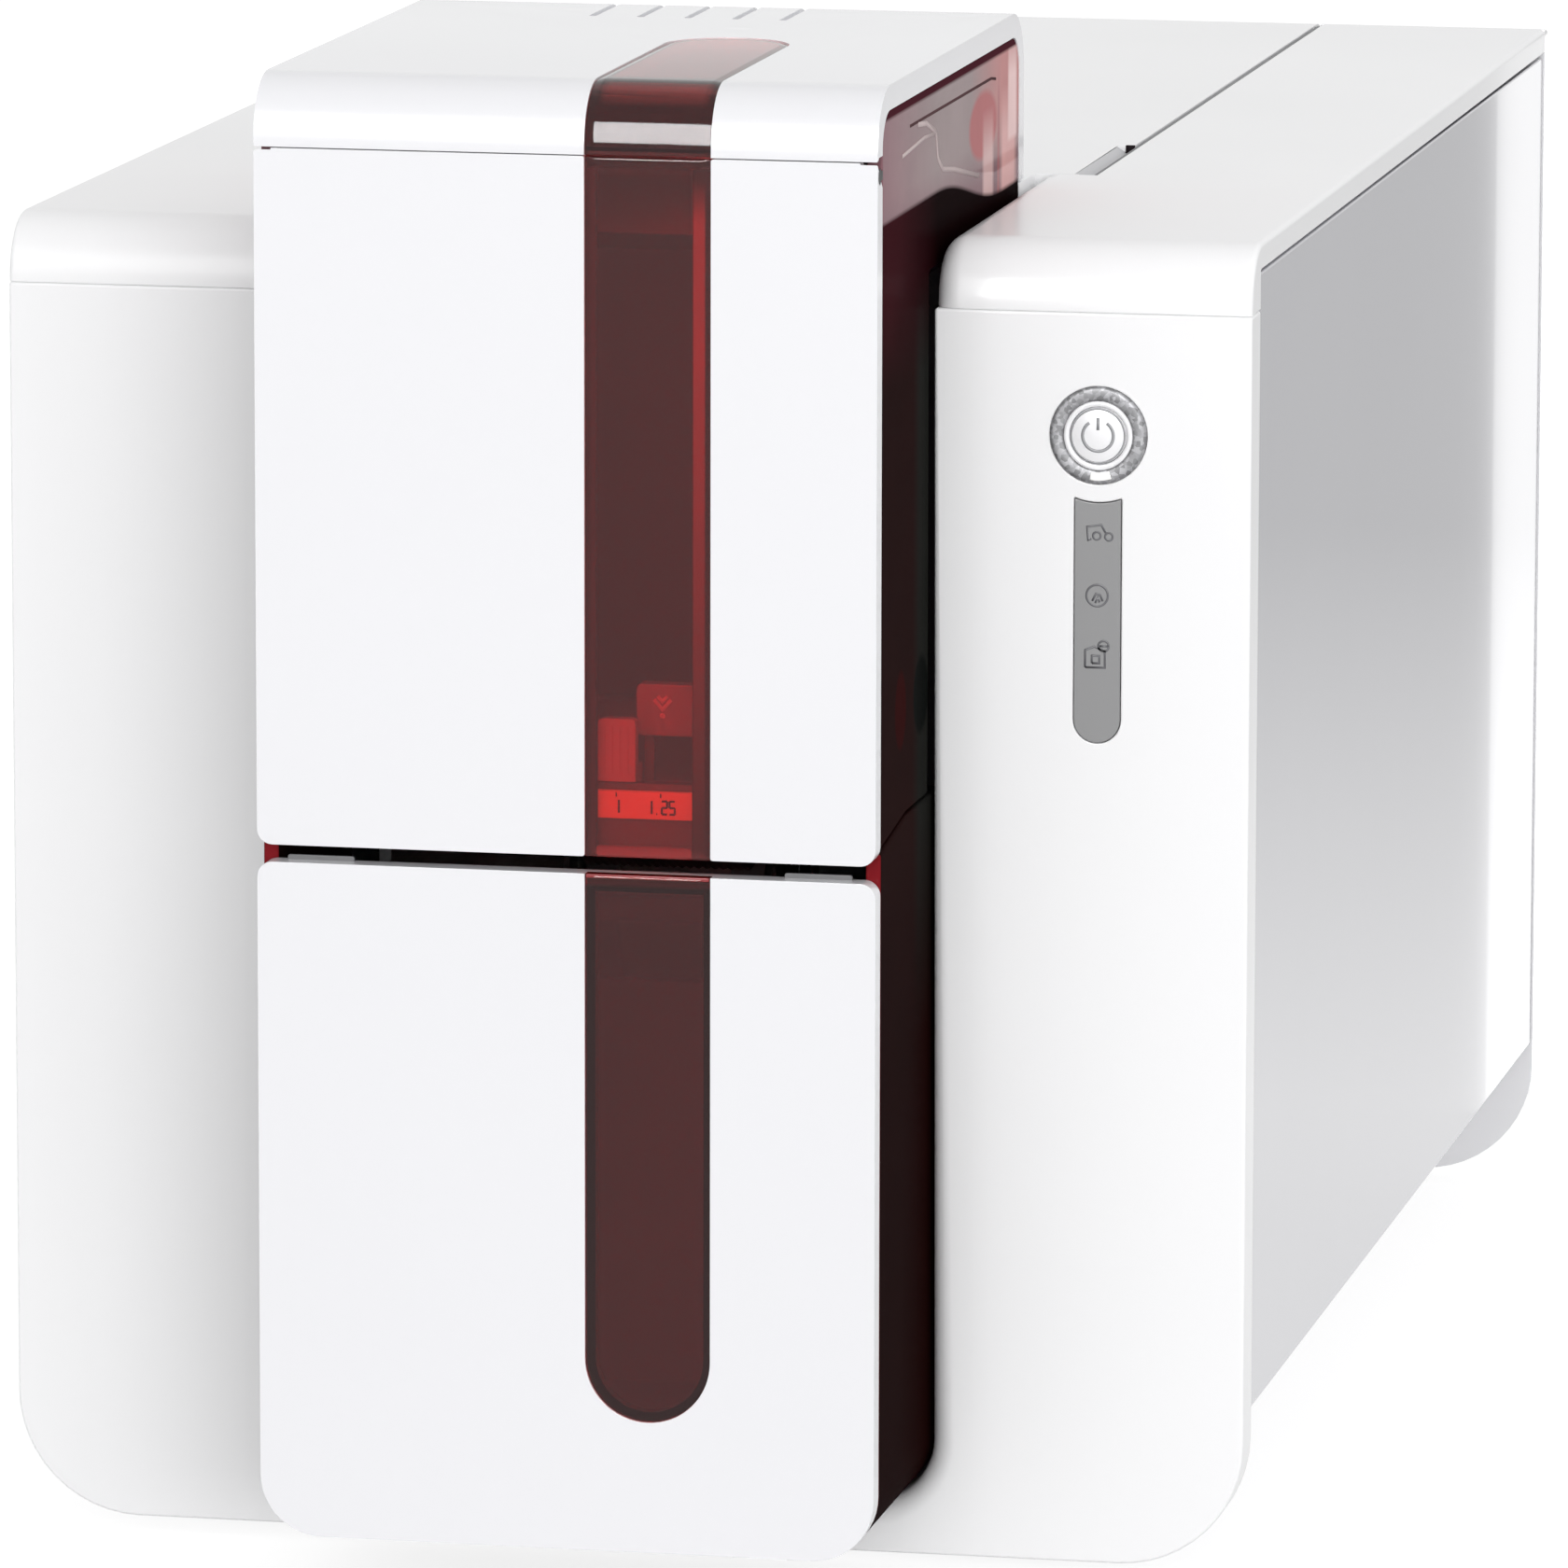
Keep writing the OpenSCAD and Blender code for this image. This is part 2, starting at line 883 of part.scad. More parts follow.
module hood_band() {
  color("#F8F8FB")
    difference() {
      side_solid(-hood_x, hood_x)
        band_profile(band_t);
      // recess that holds the window strip, and the opening under it
      intersection() {
        side_solid(-hood_x, hood_x)
          difference() {
            rounded(front_y - 1, band_z - 1, hood_y, hood_h + 1, [0, 0, 0, 0]);
            rounded(front_y + strip_t, body_h, hood_y, hood_h - strip_t, [0, 0, 0, hood_r - strip_t]);
          }
        strip_top(0);
      }
      translate([0, 0, band_z - 1])
        linear_extrude(hood_h - band_z + 2)
          intersection() {
            strip_opening();
            translate([-hood_x, front_y + hood_r])
              square([hood_w, hood_l]);
          }
      for (i = [0 : grip_n - 1])
        block(grip_x + i * grip_pitch - grip_w / 2, hood_y - grip_l - 4, hood_h - 1,
          grip_x + i * grip_pitch + grip_w / 2, hood_y - 6, hood_h + 1);
    }
}

module strip_opening() {
  end_y = front_y + strip_l - strip_r;
  translate([strip_x - strip_r + strip_ledge, front_y - 1])
    square([strip_w - 2 * strip_ledge, end_y - front_y + 1]);
  translate([strip_x, end_y])
    circle(strip_r - strip_ledge);
}

module hood_window() {
  color("#6A2628")
    intersection() {
      side_solid(-hood_x, hood_x)
        band_profile(strip_t);
      strip_top(-0.05);
    }
}

module cheek_profile() {
  r = hood_r - band_t;
  difference() {
    rounded(inner_y, door_split_z, hood_y - band_t, hood_h - band_t, [0, 0, r, r]);
    translate([face_y - gap - 0.2, door_split_z - 1])
      square([hood_l, body_h - door_split_z + 1]);
    polygon([
      [inner_y - 1, door_split_z - 1], [face_y, door_split_z - 1], [face_y, split_rear + 0.5],
      [split_bend, split_rear + 0.5], [inner_y - 1, split_front + 0.4]
    ]);
  }
}

module cheek(s) {
  color("#5A2A2C")
    on_side(s)
      side_solid(hood_x - shroud_t, hood_x)
        cheek_profile();
}

module left_cheek() {
  cheek(-1);
}

module right_cheek() {
  cheek(1);
}

// ---- doors ----

// Side view of the room round a hinge's ear: the door's skin covers the ear's front
ear_r = 1.2;
ear_arm = 1.4;

module ear_room(z, turn) {
  translate([pivot_y, z]) {
    circle(ear_r + 0.2);
    rotate(turn)
      translate([0, -3 * ear_r])
        square(6 * ear_r);
  }
}

module door_hinge(s) {
  color("#18181A")
    on_side(s) {
      bar(hood_x - door_lug + 0.2, hood_x, pivot_y, upper_pivot_z, ear_r);
      block(hood_x - door_lug + 0.2, pivot_y, upper_pivot_z - ear_arm / 2, hood_x, inner_y,
        upper_pivot_z + ear_arm / 2);
      bar(hood_x - door_lug - 8, hood_x - door_lug + 1, pivot_y, upper_pivot_z, door_pin_r);
    }
}

module door_hinge_left() {
  door_hinge(-1);
}

module door_hinge_right() {
  door_hinge(1);
}

module strip_face(z0, z1, inset) {
  translate([strip_x - strip_r + inset, z0])
    square([strip_w - 2 * inset, z1 - z0]);
}

// Side view of a door: flat, with one edge rounded about its pivot
module door_profile(z0, z1, pivot_z, t) {
  intersection() {
    union() {
      translate([front_y, z0])
        square([door_t, z1 - z0]);
      translate([pivot_y, pivot_z])
        circle(door_t / 2);
    }
    translate([front_y, pivot_z - 200])
      square([t, 400]);
  }
}

module feeder_door_blank(t) {
  intersection() {
    side_solid(-hood_x, hood_x)
      door_profile(upper_door_z, upper_pivot_z, upper_pivot_z, t);
    front_solid(front_y, door_y)
      rounded(-hood_x, upper_door_z, hood_x, upper_pivot_z + door_t, [door_r, door_r, 0, 0]);
  }
}

module feeder_door() {
  color("#F8F8FB")
    difference() {
      feeder_door_blank(door_t);
      front_solid(front_y - 1, front_y + strip_t)
        strip_face(upper_door_z - 1, upper_pivot_z + door_t, 0);
      front_solid(front_y, door_y + 1)
        strip_face(upper_door_z + 3, upper_pivot_z - 6, strip_ledge);
      for (s = [-1, 1])
        on_side(s) {
          side_solid(hood_x - door_lug, hood_x + 1)
            ear_room(upper_pivot_z, 45);
          bar(hood_x - door_lug - 9, hood_x, pivot_y, upper_pivot_z, door_pin_r + run);
        }
    }
}

module feeder_window() {
  color("#6A2628")
    intersection() {
      feeder_door_blank(strip_t);
      front_solid(front_y - 1, door_y + 1)
        strip_face(upper_door_z, upper_pivot_z + door_t, 0.05);
    }
}

module output_door_blank(t) {
  intersection() {
    side_solid(-hood_x, hood_x)
      door_profile(lower_pivot_z, lower_door_z, lower_pivot_z, t);
    front_solid(front_y, door_y)
      rounded(-hood_x, hood_z, hood_x, lower_door_z, [hood_r, hood_r, door_r, door_r]);
  }
}

module lower_strip_face(inset, z1) {
  translate([strip_x - strip_r + inset, strip_z + strip_r])
    square([strip_w - 2 * inset, z1 - strip_z - strip_r]);
  translate([strip_x, strip_z + strip_r])
    circle(strip_r - inset);
}

hinge_x = 30;
hinge_w = 6;

module output_door() {
  color("#F8F8FB")
    difference() {
      output_door_blank(door_t);
      front_solid(front_y - 1, front_y + strip_t)
        lower_strip_face(0, lower_door_z + 1);
      front_solid(front_y, door_y + 1)
        lower_strip_face(strip_ledge, lower_door_z - 3);
      for (s = [-1, 1])
        on_side(s) {
          side_solid(hinge_x - 0.2, hinge_x + hinge_w + 0.2)
            ear_room(lower_pivot_z, -45);
          bar(hinge_x - 6, hinge_x + hinge_w + 6, pivot_y, lower_pivot_z, door_pin_r + run);
        }
    }
}

module output_window() {
  color("#6A2628")
    intersection() {
      output_door_blank(strip_t);
      front_solid(front_y - 1, door_y + 1)
        lower_strip_face(0.05, lower_door_z + 1);
    }
}

module output_hinge(s) {
  color("#F8F8FB")
    on_side(s) {
      bar(hinge_x, hinge_x + hinge_w, pivot_y, lower_pivot_z, ear_r);
      block(hinge_x, pivot_y, lower_pivot_z - ear_arm / 2, hinge_x + hinge_w, inner_y,
        lower_pivot_z + ear_arm / 2);
      bar(hinge_x - 5, hinge_x + hinge_w + 5, pivot_y, lower_pivot_z, door_pin_r);
    }
}

module output_hinge_left() {
  output_hinge(-1);
}

module output_hinge_right() {
  output_hinge(1);
}

// ---- print head, under the lid ----

head_z = path_z + 1.3;
head_h = 7;
head_x = guide_x + 3;
bracket_z = head_z + head_h;

module head_bracket() {
  color("#B8BCC0") {
    block(-head_x, platen_y - 9, bracket_z, head_x, platen_y + 7, bracket_z + 2);
    for (s = [-1, 1])
      on_side(s) {
        block(head_x - 2, platen_y - 9, bracket_z, head_x, platen_y + 7, body_h - wall);
        block(head_x - 2, platen_y - 9, body_h - wall - 2, head_x + 8, platen_y + 7, body_h - wall);
      }
  }
}

module print_head() {
  color("#6E6258")
    side_solid(-guide_x, guide_x)
      polygon([
        [platen_y - 7, bracket_z], [platen_y - 7, head_z + 2.5], [platen_y - 2, head_z],
        [platen_y + 1, head_z], [platen_y + 5, head_z + 2.5], [platen_y + 5, bracket_z]
      ]);
}

module head_heatsink() {
  z0 = bracket_z + 2;
  color("#A8ACB0") {
    block(-24, platen_y - 7, z0, 24, platen_y + 5, z0 + 3);
    for (x = [-24 : 6 : 22.5])
      block(x, platen_y - 7, z0, x + 1.6, platen_y + 5, z0 + 16);
  }
}

// ---- small moving pieces in the feeder ----

lever_h = 10.5;

module gauge_lever() {
  x0 = lever_x - lever_w / 2;
  lip_z = path_z + feeder_lip;
  color("#D9D2CF") {
    block(x0, bin_y - 1.2, lip_z + 0.4, x0 + lever_w, bin_y + lip_t + 1.3, lip_z + 3);
    block(x0, bin_y - 1.2, lip_z + 0.4, x0 + lever_w, bin_y + 1, lip_z + lever_h);
    block(x0, bin_y + lip_t + 0.3, path_z + 0.8, x0 + lever_w, bin_y + lip_t + 1.3, lip_z + 3);
  }
}

weight_h = 6;
tab_w = 13;
tab_in = 1.6;
tab_top = 22;

module card_weight() {
  x0 = guide_x - 0.8;
  color("#8C8C90")
    difference() {
      union() {
        block(-x0, card_y + 2, path_z + 0.3, x0, card_end - 1.5, path_z + weight_h);
        block(lever_x + tab_in, card_y + 2, path_z + weight_h - 1, lever_x + tab_in + tab_w, card_y + 5,
          path_z + tab_top);
      }
      block(-x0 + 4, card_y + 9, path_z + weight_h / 2, x0 - 4, card_end - 6, path_z + weight_h + 1);
    }
}

front_frame();
left_casing();
right_casing();
left_side_panel();
right_side_panel();
rear_panel();
base_tray();
foot_front_left();
foot_front_right();
foot_rear_left();
foot_rear_right();
hopper_shroud();
output_bin();
feeder_tray();
card_scale();
left_plate();
right_plate();
output_hinge_left();
output_hinge_right();
lid_pin_left();
lid_pin_right();
main_board();
power_socket();
usb_socket();
network_socket();
control_board();
button_ring();
indicator_strip();
drive_motor();
motor_belt();
platen_belt();
pick_belt();
lid_panel();
hood_band();
hood_window();
left_cheek();
right_cheek();
door_hinge_left();
door_hinge_right();
head_bracket();
print_head();
head_heatsink();
feeder_door();
feeder_window();
output_door();
output_window();
power_button();
gauge_lever();
card_weight();
motor_pulley();
platen_shaft();
platen_roller();
cleaning_shaft();
cleaning_roller();
pick_shaft();
pick_roller();
ribbon_supply();
ribbon_takeup();
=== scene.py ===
import bmesh
import bpy
import numpy as np
from mathutils import Matrix


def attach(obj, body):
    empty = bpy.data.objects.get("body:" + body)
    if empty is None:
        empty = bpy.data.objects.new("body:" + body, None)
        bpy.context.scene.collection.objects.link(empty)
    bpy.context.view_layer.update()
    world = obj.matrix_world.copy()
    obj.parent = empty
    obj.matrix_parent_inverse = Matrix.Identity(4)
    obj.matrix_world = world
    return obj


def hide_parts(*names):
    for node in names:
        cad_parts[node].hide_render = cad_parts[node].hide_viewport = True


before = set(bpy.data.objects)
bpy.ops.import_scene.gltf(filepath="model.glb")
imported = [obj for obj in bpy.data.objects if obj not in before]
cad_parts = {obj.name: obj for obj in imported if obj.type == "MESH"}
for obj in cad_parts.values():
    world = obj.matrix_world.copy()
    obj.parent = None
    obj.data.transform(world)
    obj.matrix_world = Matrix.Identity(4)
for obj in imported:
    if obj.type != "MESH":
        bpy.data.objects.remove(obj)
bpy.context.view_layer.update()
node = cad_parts

# ---- Camera ----
# A long lens stands to the front right of the printer, a little above its top.
# Yaw, pitch and roll turn it from a level view along +Y.


def new_object(name, data):
    """A new object in the scene that shows the data."""
    thing = bpy.data.objects.new(name, data)
    bpy.context.scene.collection.objects.link(thing)
    return thing


yaw, pitch, roll = 0.2021, 0.1703, 0.0019
back = np.array([np.sin(yaw) * np.cos(pitch), -np.cos(yaw) * np.cos(pitch), np.sin(pitch)])
level = np.array([np.cos(yaw), np.sin(yaw), 0.0])
upright = np.cross(back, level)
pose = np.eye(4)
pose[:3, 0] = level * np.cos(roll) + upright * np.sin(roll)
pose[:3, 1] = upright * np.cos(roll) - level * np.sin(roll)
pose[:3, 2] = back
pose[:3, 3] = 0.41983, -2.06615, 0.46596
lens = bpy.data.cameras.new("camera")
lens.lens, lens.clip_end = 282.3, 60
camera = new_object("camera", lens)
camera.matrix_world = Matrix(pose.tolist())
bpy.context.scene.camera = camera
bpy.context.scene.view_settings.view_transform = "Standard"

# ---- Floor, room and lamps ----
# A pale floor under a white room, with large soft lamps in front, at right and above. A softbox and a
# tall narrow lamp are only mirrored: they draw the highlights on the roundings and the glossy side.


def place(tree, kind, inputs=None, **settings):
    """Adds a node of this kind; a socket given as an input is linked, a value is set."""
    made = tree.nodes.new("ShaderNode" + kind)
    for key, value in settings.items():
        setattr(made, key, value)
    for key, value in (inputs or {}).items():
        if isinstance(value, bpy.types.NodeSocket):
            tree.links.new(value, made.inputs[key])
        else:
            made.inputs[key].default_value = value
    return made


def math(tree, how, *values):
    """The result of one step of arithmetic."""
    return place(tree, "Math", dict(enumerate(values)), operation=how).outputs[0]


def ramp(tree, value, start, end, low=0.0, high=1.0, **settings):
    """A value mapped from start...end to low...high, and held beyond them."""
    return place(tree, "MapRange", {"Value": value, "From Min": start, "From Max": end, "To Min": low,
                                    "To Max": high}, **settings).outputs[0]


def either(tree, mask, low, high):
    """The number low where the mask is 0 and high where it is 1."""
    return place(tree, "Mix", {0: mask, 2: low, 3: high}, data_type="FLOAT").outputs[0]


def point_of(tree):
    """The shaded point in Object coordinates."""
    return place(tree, "TexCoord").outputs["Object"]


def axes_of(tree):
    """X, Y and Z of the shaded point."""
    return place(tree, "SeparateXYZ", {0: point_of(tree)}).outputs


def seen_directly(tree):
    """1 for a ray from the camera, off a mirror-like surface or through glass, else 0."""
    path = place(tree, "LightPath").outputs
    seen = math(tree, "MAXIMUM", path["Is Camera Ray"], path["Is Glossy Ray"])
    return math(tree, "MAXIMUM", seen, path["Is Transmission Ray"])


world = bpy.data.worlds.new("room")
bpy.context.scene.world = world
world.use_nodes = True
tree = world.node_tree
tree.nodes.clear()
brightness = either(tree, seen_directly(tree), 0.70, 1.0)
shine = place(tree, "Background", {"Color": (1, 1, 1, 1), "Strength": brightness})
place(tree, "OutputWorld", {"Surface": shine.outputs[0]})

floor_mesh = bpy.data.meshes.new("floor")
floor_mesh.from_pydata([(-30, -30, 0), (30, -30, 0), (30, 30, 0), (-30, 30, 0)], [], [(0, 1, 2, 3)])
floor_finish = bpy.data.materials.new("pale_floor")
floor_finish.use_nodes = True
tree = floor_finish.node_tree
tree.nodes.clear()
mirrored = either(tree, place(tree, "LightPath").outputs["Is Glossy Ray"], 0.82,
                  ramp(tree, axes_of(tree)["Y"], 0.25, 1.0, 0.84, 0.36))
brightness = either(tree, seen_directly(tree), 0.2, mirrored)
glow = place(tree, "Emission", {"Color": (1, 1, 1, 1), "Strength": brightness})
matt = place(tree, "BsdfDiffuse", {"Color": (0.34, 0.34, 0.34, 1)})
both = place(tree, "AddShader", {0: glow.outputs[0], 1: matt.outputs[0]})
place(tree, "OutputMaterial", {"Surface": both.outputs[0]})
floor_mesh.materials.append(floor_finish)
new_object("floor", floor_mesh)


def lamp(name, spot, aim, width, height, watts, only_mirrored=False):
    """A soft rectangular lamp at spot that faces aim. One only mirrored lights nothing; the others
    are not mirrored."""
    light = bpy.data.lights.new(name, "AREA")
    light.shape = "RECTANGLE"
    light.size, light.size_y, light.energy = width, height, watts
    z = np.array(spot) - np.array(aim)
    z = z / np.linalg.norm(z)
    x = np.cross((0, 0, 1), z)
    x = x / np.linalg.norm(x)
    turn = np.eye(4)
    turn[:3] = np.stack([x, np.cross(z, x), z, spot], 1)
    thing = new_object(name, light)
    thing.matrix_world = Matrix(turn.tolist())
    if only_mirrored:
        thing.visible_camera = thing.visible_diffuse = thing.visible_transmission = False
    else:
        thing.visible_glossy = False


lamp("lamp_front", (0.6, -2.7, 0.5), (0, -0.15, 0.12), 2.6, 1.1, 35)
lamp("lamp_right", (2.2, -1.9, 0.6), (0.08, -0.15, 0.12), 1.0, 1.0, 9)
lamp("lamp_top", (0.0, -0.4, 2.0), (0, 0, 0.2), 1.6, 1.6, 0.6)
lamp("softbox", (0.02, -2.6, 1.25), (0.02, -0.19, 0.24), 1.29, 1.7, 165, only_mirrored=True)
lamp("strip_light", (0.1149, 0.25, 0.105), (0.1149, 0, 0.105), 0.0108, 0.21, 0.0064, only_mirrored=True)

# ---- Moulded shell: front frame ----
# The white case is glossy injection-moulded plastic. The front frame is a U-shaped moulding,
# 8 mm deep and hollow behind, that clips on the base; the hood stands through its middle.


def linear(code):
    """A written colour such as #F4F4F6 as linear red, green, blue and alpha."""
    c = np.array([int(code[i:i + 2], 16) for i in (1, 3, 5)]) / 255
    c = np.where(c <= 0.04045, c / 12.92, ((c + 0.055) / 1.055) ** 2.4)
    return (*c.tolist(), 1.0)


def mixed(tree, mask, first, second, blend="MIX"):
    """One colour under another where the mask is 1; a colour may be a written one."""
    under, over = (linear(one) if isinstance(one, str) else one for one in (first, second))
    return place(tree, "Mix", {0: mask, 6: under, 7: over}, data_type="RGBA", blend_type=blend).outputs[2]


def noise(tree, where, scale, detail=2.0):
    """Soft noise between 0 and 1."""
    return place(tree, "TexNoise", {"Vector": where, "Scale": scale, "Detail": detail}).outputs[0]


def surface_group(name, kinds, finish):
    """A node group with inputs of these kinds, which puts out the colour, roughness and height that
    finish(group, inputs) makes."""
    group = bpy.data.node_groups.new(name, "ShaderNodeTree")
    made_kinds = {"Colour": "Color", "Roughness": "Float", "Height": "Float"}
    for way, sockets in (("INPUT", kinds), ("OUTPUT", made_kinds)):
        for key, kind in sockets.items():
            group.interface.new_socket(key, in_out=way, socket_type="NodeSocket" + kind)
    made = finish(group, group.nodes.new("NodeGroupInput").outputs)
    for value, socket in zip(made, group.nodes.new("NodeGroupOutput").inputs):
        group.links.new(value, socket)
    return group


def moulded_finish(group, given):
    """Broad clouds of shade where the melt cooled unevenly, a fine spark-eroded grain, and a few
    faint scuffs."""
    where = point_of(group)
    clouds = noise(group, where, 14.0, 3.0)
    stretch = place(group, "Mapping", {"Vector": where, "Scale": (60, 60, 900), "Rotation": (0.4, 0.7, 0.2)})
    line = ramp(group, noise(group, stretch.outputs[0], 1.0, 1.0), 0.72, 0.82, 0.0, given["Scuffing"])
    shade = ramp(group, clouds, 0.3, 0.7, 1.0, given["Clouding"])
    tint = mixed(group, 1.0, given["Colour"], shade, "MULTIPLY")
    rough = math(group, "MULTIPLY_ADD", given["Roughness"], ramp(group, clouds, 0.0, 1.0, 0.85, 1.15), line)
    return tint, rough, noise(group, where, given["Grain scale"])


moulded_surface = surface_group("moulded_surface",
                                {"Colour": "Color", "Clouding": "Float", "Roughness": "Float",
                                 "Scuffing": "Float", "Grain scale": "Float"}, moulded_finish)


def new_material(name, **sockets):
    """A new material with these values on its shader, its node tree and the shader's inputs."""
    made = bpy.data.materials.new(name)
    made.use_nodes = True
    inputs = made.node_tree.nodes["Principled BSDF"].inputs
    for key, value in sockets.items():
        inputs[key.replace("_", " ")].default_value = value
    return made, made.node_tree, inputs


def from_group(group, name, values, bump, sockets):
    """A material whose colour, roughness and relief come from a group with these values."""
    made, tree, shader = new_material(name, **sockets)
    surface = tree.nodes.new("ShaderNodeGroup")
    surface.node_tree = group
    for key, value in values.items():
        surface.inputs[key].default_value = value
    relief = place(tree, "Bump", {"Height": surface.outputs["Height"], "Strength": bump, "Distance": 0.0001})
    tree.links.new(surface.outputs["Colour"], shader["Base Color"])
    tree.links.new(surface.outputs["Roughness"], shader["Roughness"])
    tree.links.new(relief.outputs[0], shader["Normal"])
    return made


def moulding(name, code, roughness=0.3, clouding=0.985, scuffing=0.05, grain=1500.0, bump=0.04, **sockets):
    """A moulded plastic, with its own colour, gloss and grain."""
    values = {"Colour": linear(code), "Clouding": clouding, "Roughness": roughness, "Scuffing": scuffing,
              "Grain scale": grain}
    return from_group(moulded_surface, name, values, bump, sockets)


def rounded_line(corners, radii, closed=True, arc=10):
    """Points and outward normals of a line that runs counter-clockwise through the corners, each
    turned into an arc of its own radius: the arc starts r*tan(turn/2) before the corner, and its
    centre lies a radius to the left of the start, or to the right where the line turns right."""
    p = np.array(corners, float)
    r = np.broadcast_to(np.array(radii, float), len(p))
    ahead = np.roll(p, -1, 0) - p
    ahead = ahead / np.maximum(np.linalg.norm(ahead, axis=1, keepdims=True), 1e-9)
    before = np.roll(ahead, 1, 0)
    turn = np.arctan2(before[:, 0] * ahead[:, 1] - before[:, 1] * ahead[:, 0], (before * ahead).sum(1))
    if not closed:
        turn[[0, -1]] = 0
        before[0] = ahead[0]
    start = p - before * (r * np.tan(abs(turn) / 2))[:, None]
    first = np.stack([before[:, 1], -before[:, 0]], 1)
    middle = start - first * (r * np.sign(turn))[:, None]
    angle = turn[:, None] * np.linspace(0, 1, arc)
    c, s = np.cos(angle), np.sin(angle)
    normal = np.stack([c * first[:, :1] - s * first[:, 1:], s * first[:, :1] + c * first[:, 1:]], 2)
    point = middle[:, None] + normal * (r * np.sign(turn))[:, None, None]
    point[turn == 0] = p[turn == 0][:, None]
    point, normal = point.reshape(-1, 2), normal.reshape(-1, 2)
    gap = np.linalg.norm(point - np.roll(point, 1, 0), axis=1)
    if not closed:
        gap[0] = 1
    return point[gap > 1e-5], normal[gap > 1e-5]


def rect(x0, z0, x1, z1, r=0.0, arc=4):
    """The outline of a rectangle from one corner to the other, rounded by r or by four radii."""
    return rounded_line([(x0, z0), (x1, z0), (x1, z1), (x0, z1)], r, arc=arc)[0]


def piece(name, mesh, material, body, slot, *replaced):
    """Puts a mesh in the scene, rides it on its body and lets it stand for its CAD nodes."""
    thing = new_object(name, mesh)
    mesh.materials.clear()
    mesh.materials.append(material)
    mesh.polygons.foreach_set("use_smooth", np.full(len(mesh.polygons), True))
    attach(thing, body)
    if replaced:
        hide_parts(*replaced)
    return thing


def rim(thing, width, angle=35):
    """Rounds every edge that turns by more than the angle, as a mould does."""
    bevel = thing.modifiers.new("rim", "BEVEL")
    bevel.width, bevel.segments = width / 1000, 3
    bevel.limit_method, bevel.angle_limit = "ANGLE", np.radians(angle)
    bevel.harden_normals, bevel.miter_outer = True, "MITER_ARC"
    return thing


def solid(co, faces, stations=()):
    """A bmesh of points and faces, cut across at each station of its first coordinate so that it
    can bend there."""
    mesh = bpy.data.meshes.new("solid")
    mesh.from_pydata(co.tolist(), [], faces)
    bm = bmesh.new()
    bm.from_mesh(mesh)
    bpy.data.meshes.remove(mesh)
    for u in stations:
        bmesh.ops.bisect_plane(bm, geom=bm.verts[:] + bm.edges[:] + bm.faces[:], dist=1e-4,
                               plane_co=(u, 0, 0), plane_no=(1, 0, 0))
    return bm


def meshed(bm, name, merge=0.0):
    """The mesh of a bmesh, with points closer than merge made one and its faces turned outward."""
    if merge:
        bmesh.ops.remove_doubles(bm, verts=bm.verts[:], dist=merge)
    bmesh.ops.recalc_face_normals(bm, faces=bm.faces[:])
    mesh = bpy.data.meshes.new(name)
    bm.to_mesh(mesh)
    bm.free()
    return mesh


def slab(points, depth, stations=()):
    """A flat plate: the outline at depth 0 facing -w and again at the depth, with walls between."""
    n = len(points)
    flat = np.concatenate([np.c_[points, np.zeros(n)], np.c_[points, np.full(n, depth)]])
    i = np.arange(n)
    j = (i + 1) % n
    walls = np.stack([i, i + n, j + n, j], 1)
    return solid(flat, [i.tolist(), (i[::-1] + n).tolist(), *walls.tolist()], stations)


def capped(co, m, stations=()):
    """Rings of m points each, joined ring to ring and closed at both ends."""
    n = len(co) // m
    i, j = np.meshgrid(np.arange(n - 1), np.arange(m), indexing="ij")
    start, end = i * m + j, i * m + (j + 1) % m
    quads = np.stack([start, end, end + m, start + m], 2).reshape(-1, 4)
    caps = [list(range(m)), list(range(n * m - 1, n * m - m - 1, -1))]
    return solid(co, [*caps, *quads.tolist()], stations)


def laid(bm, place_of, name="cutter"):
    """The mesh of a bmesh with every vertex (u, v, w) moved by place_of, in millimetres."""
    mesh = meshed(bm, name)
    flat = np.empty(len(mesh.vertices) * 3, np.float32)
    mesh.vertices.foreach_get("co", flat)
    u, v, w = flat.reshape(-1, 3).astype(float).T
    mesh.vertices.foreach_set("co", (np.stack(place_of(u, v, w), 1) / 1000).astype(np.float32).ravel())
    mesh.update()
    turned = bmesh.new()
    turned.from_mesh(mesh)
    bpy.data.meshes.remove(mesh)
    return meshed(turned, name)


def facing_front(y0):
    """Slab coordinates as X, Z and depth behind the plane y0."""
    return lambda u, v, w: (u, y0 + w, v)


def cutter(outline, depth, place_of):
    """The mesh of a slab, to be taken out of a piece or added to it."""
    return laid(slab(outline, depth), place_of)


def carve(thing, *cutters, how="DIFFERENCE"):
    """Takes the cutters' solids out of a piece, or adds them, and throws the cutters away."""
    for mesh in cutters:
        tool = new_object("cutter", mesh)
        cut = thing.modifiers.new("cut", "BOOLEAN")
        cut.object, cut.operation, cut.solver = tool, how, "EXACT"
        bpy.context.view_layer.update()
        got = bpy.data.meshes.new_from_object(thing.evaluated_get(bpy.context.evaluated_depsgraph_get()))
        thing.modifiers.remove(cut)
        old, thing.data = thing.data, got
        got.name = old.name
        bpy.data.meshes.remove(old)
        bpy.data.objects.remove(tool)
        bpy.data.meshes.remove(mesh)
    return thing


def disc(x, z, r, n=64):
    """A round outline about x, z."""
    t = np.linspace(0, 2 * np.pi, n, endpoint=False)
    return np.stack([x + r * np.cos(t), z + r * np.sin(t)], 1)


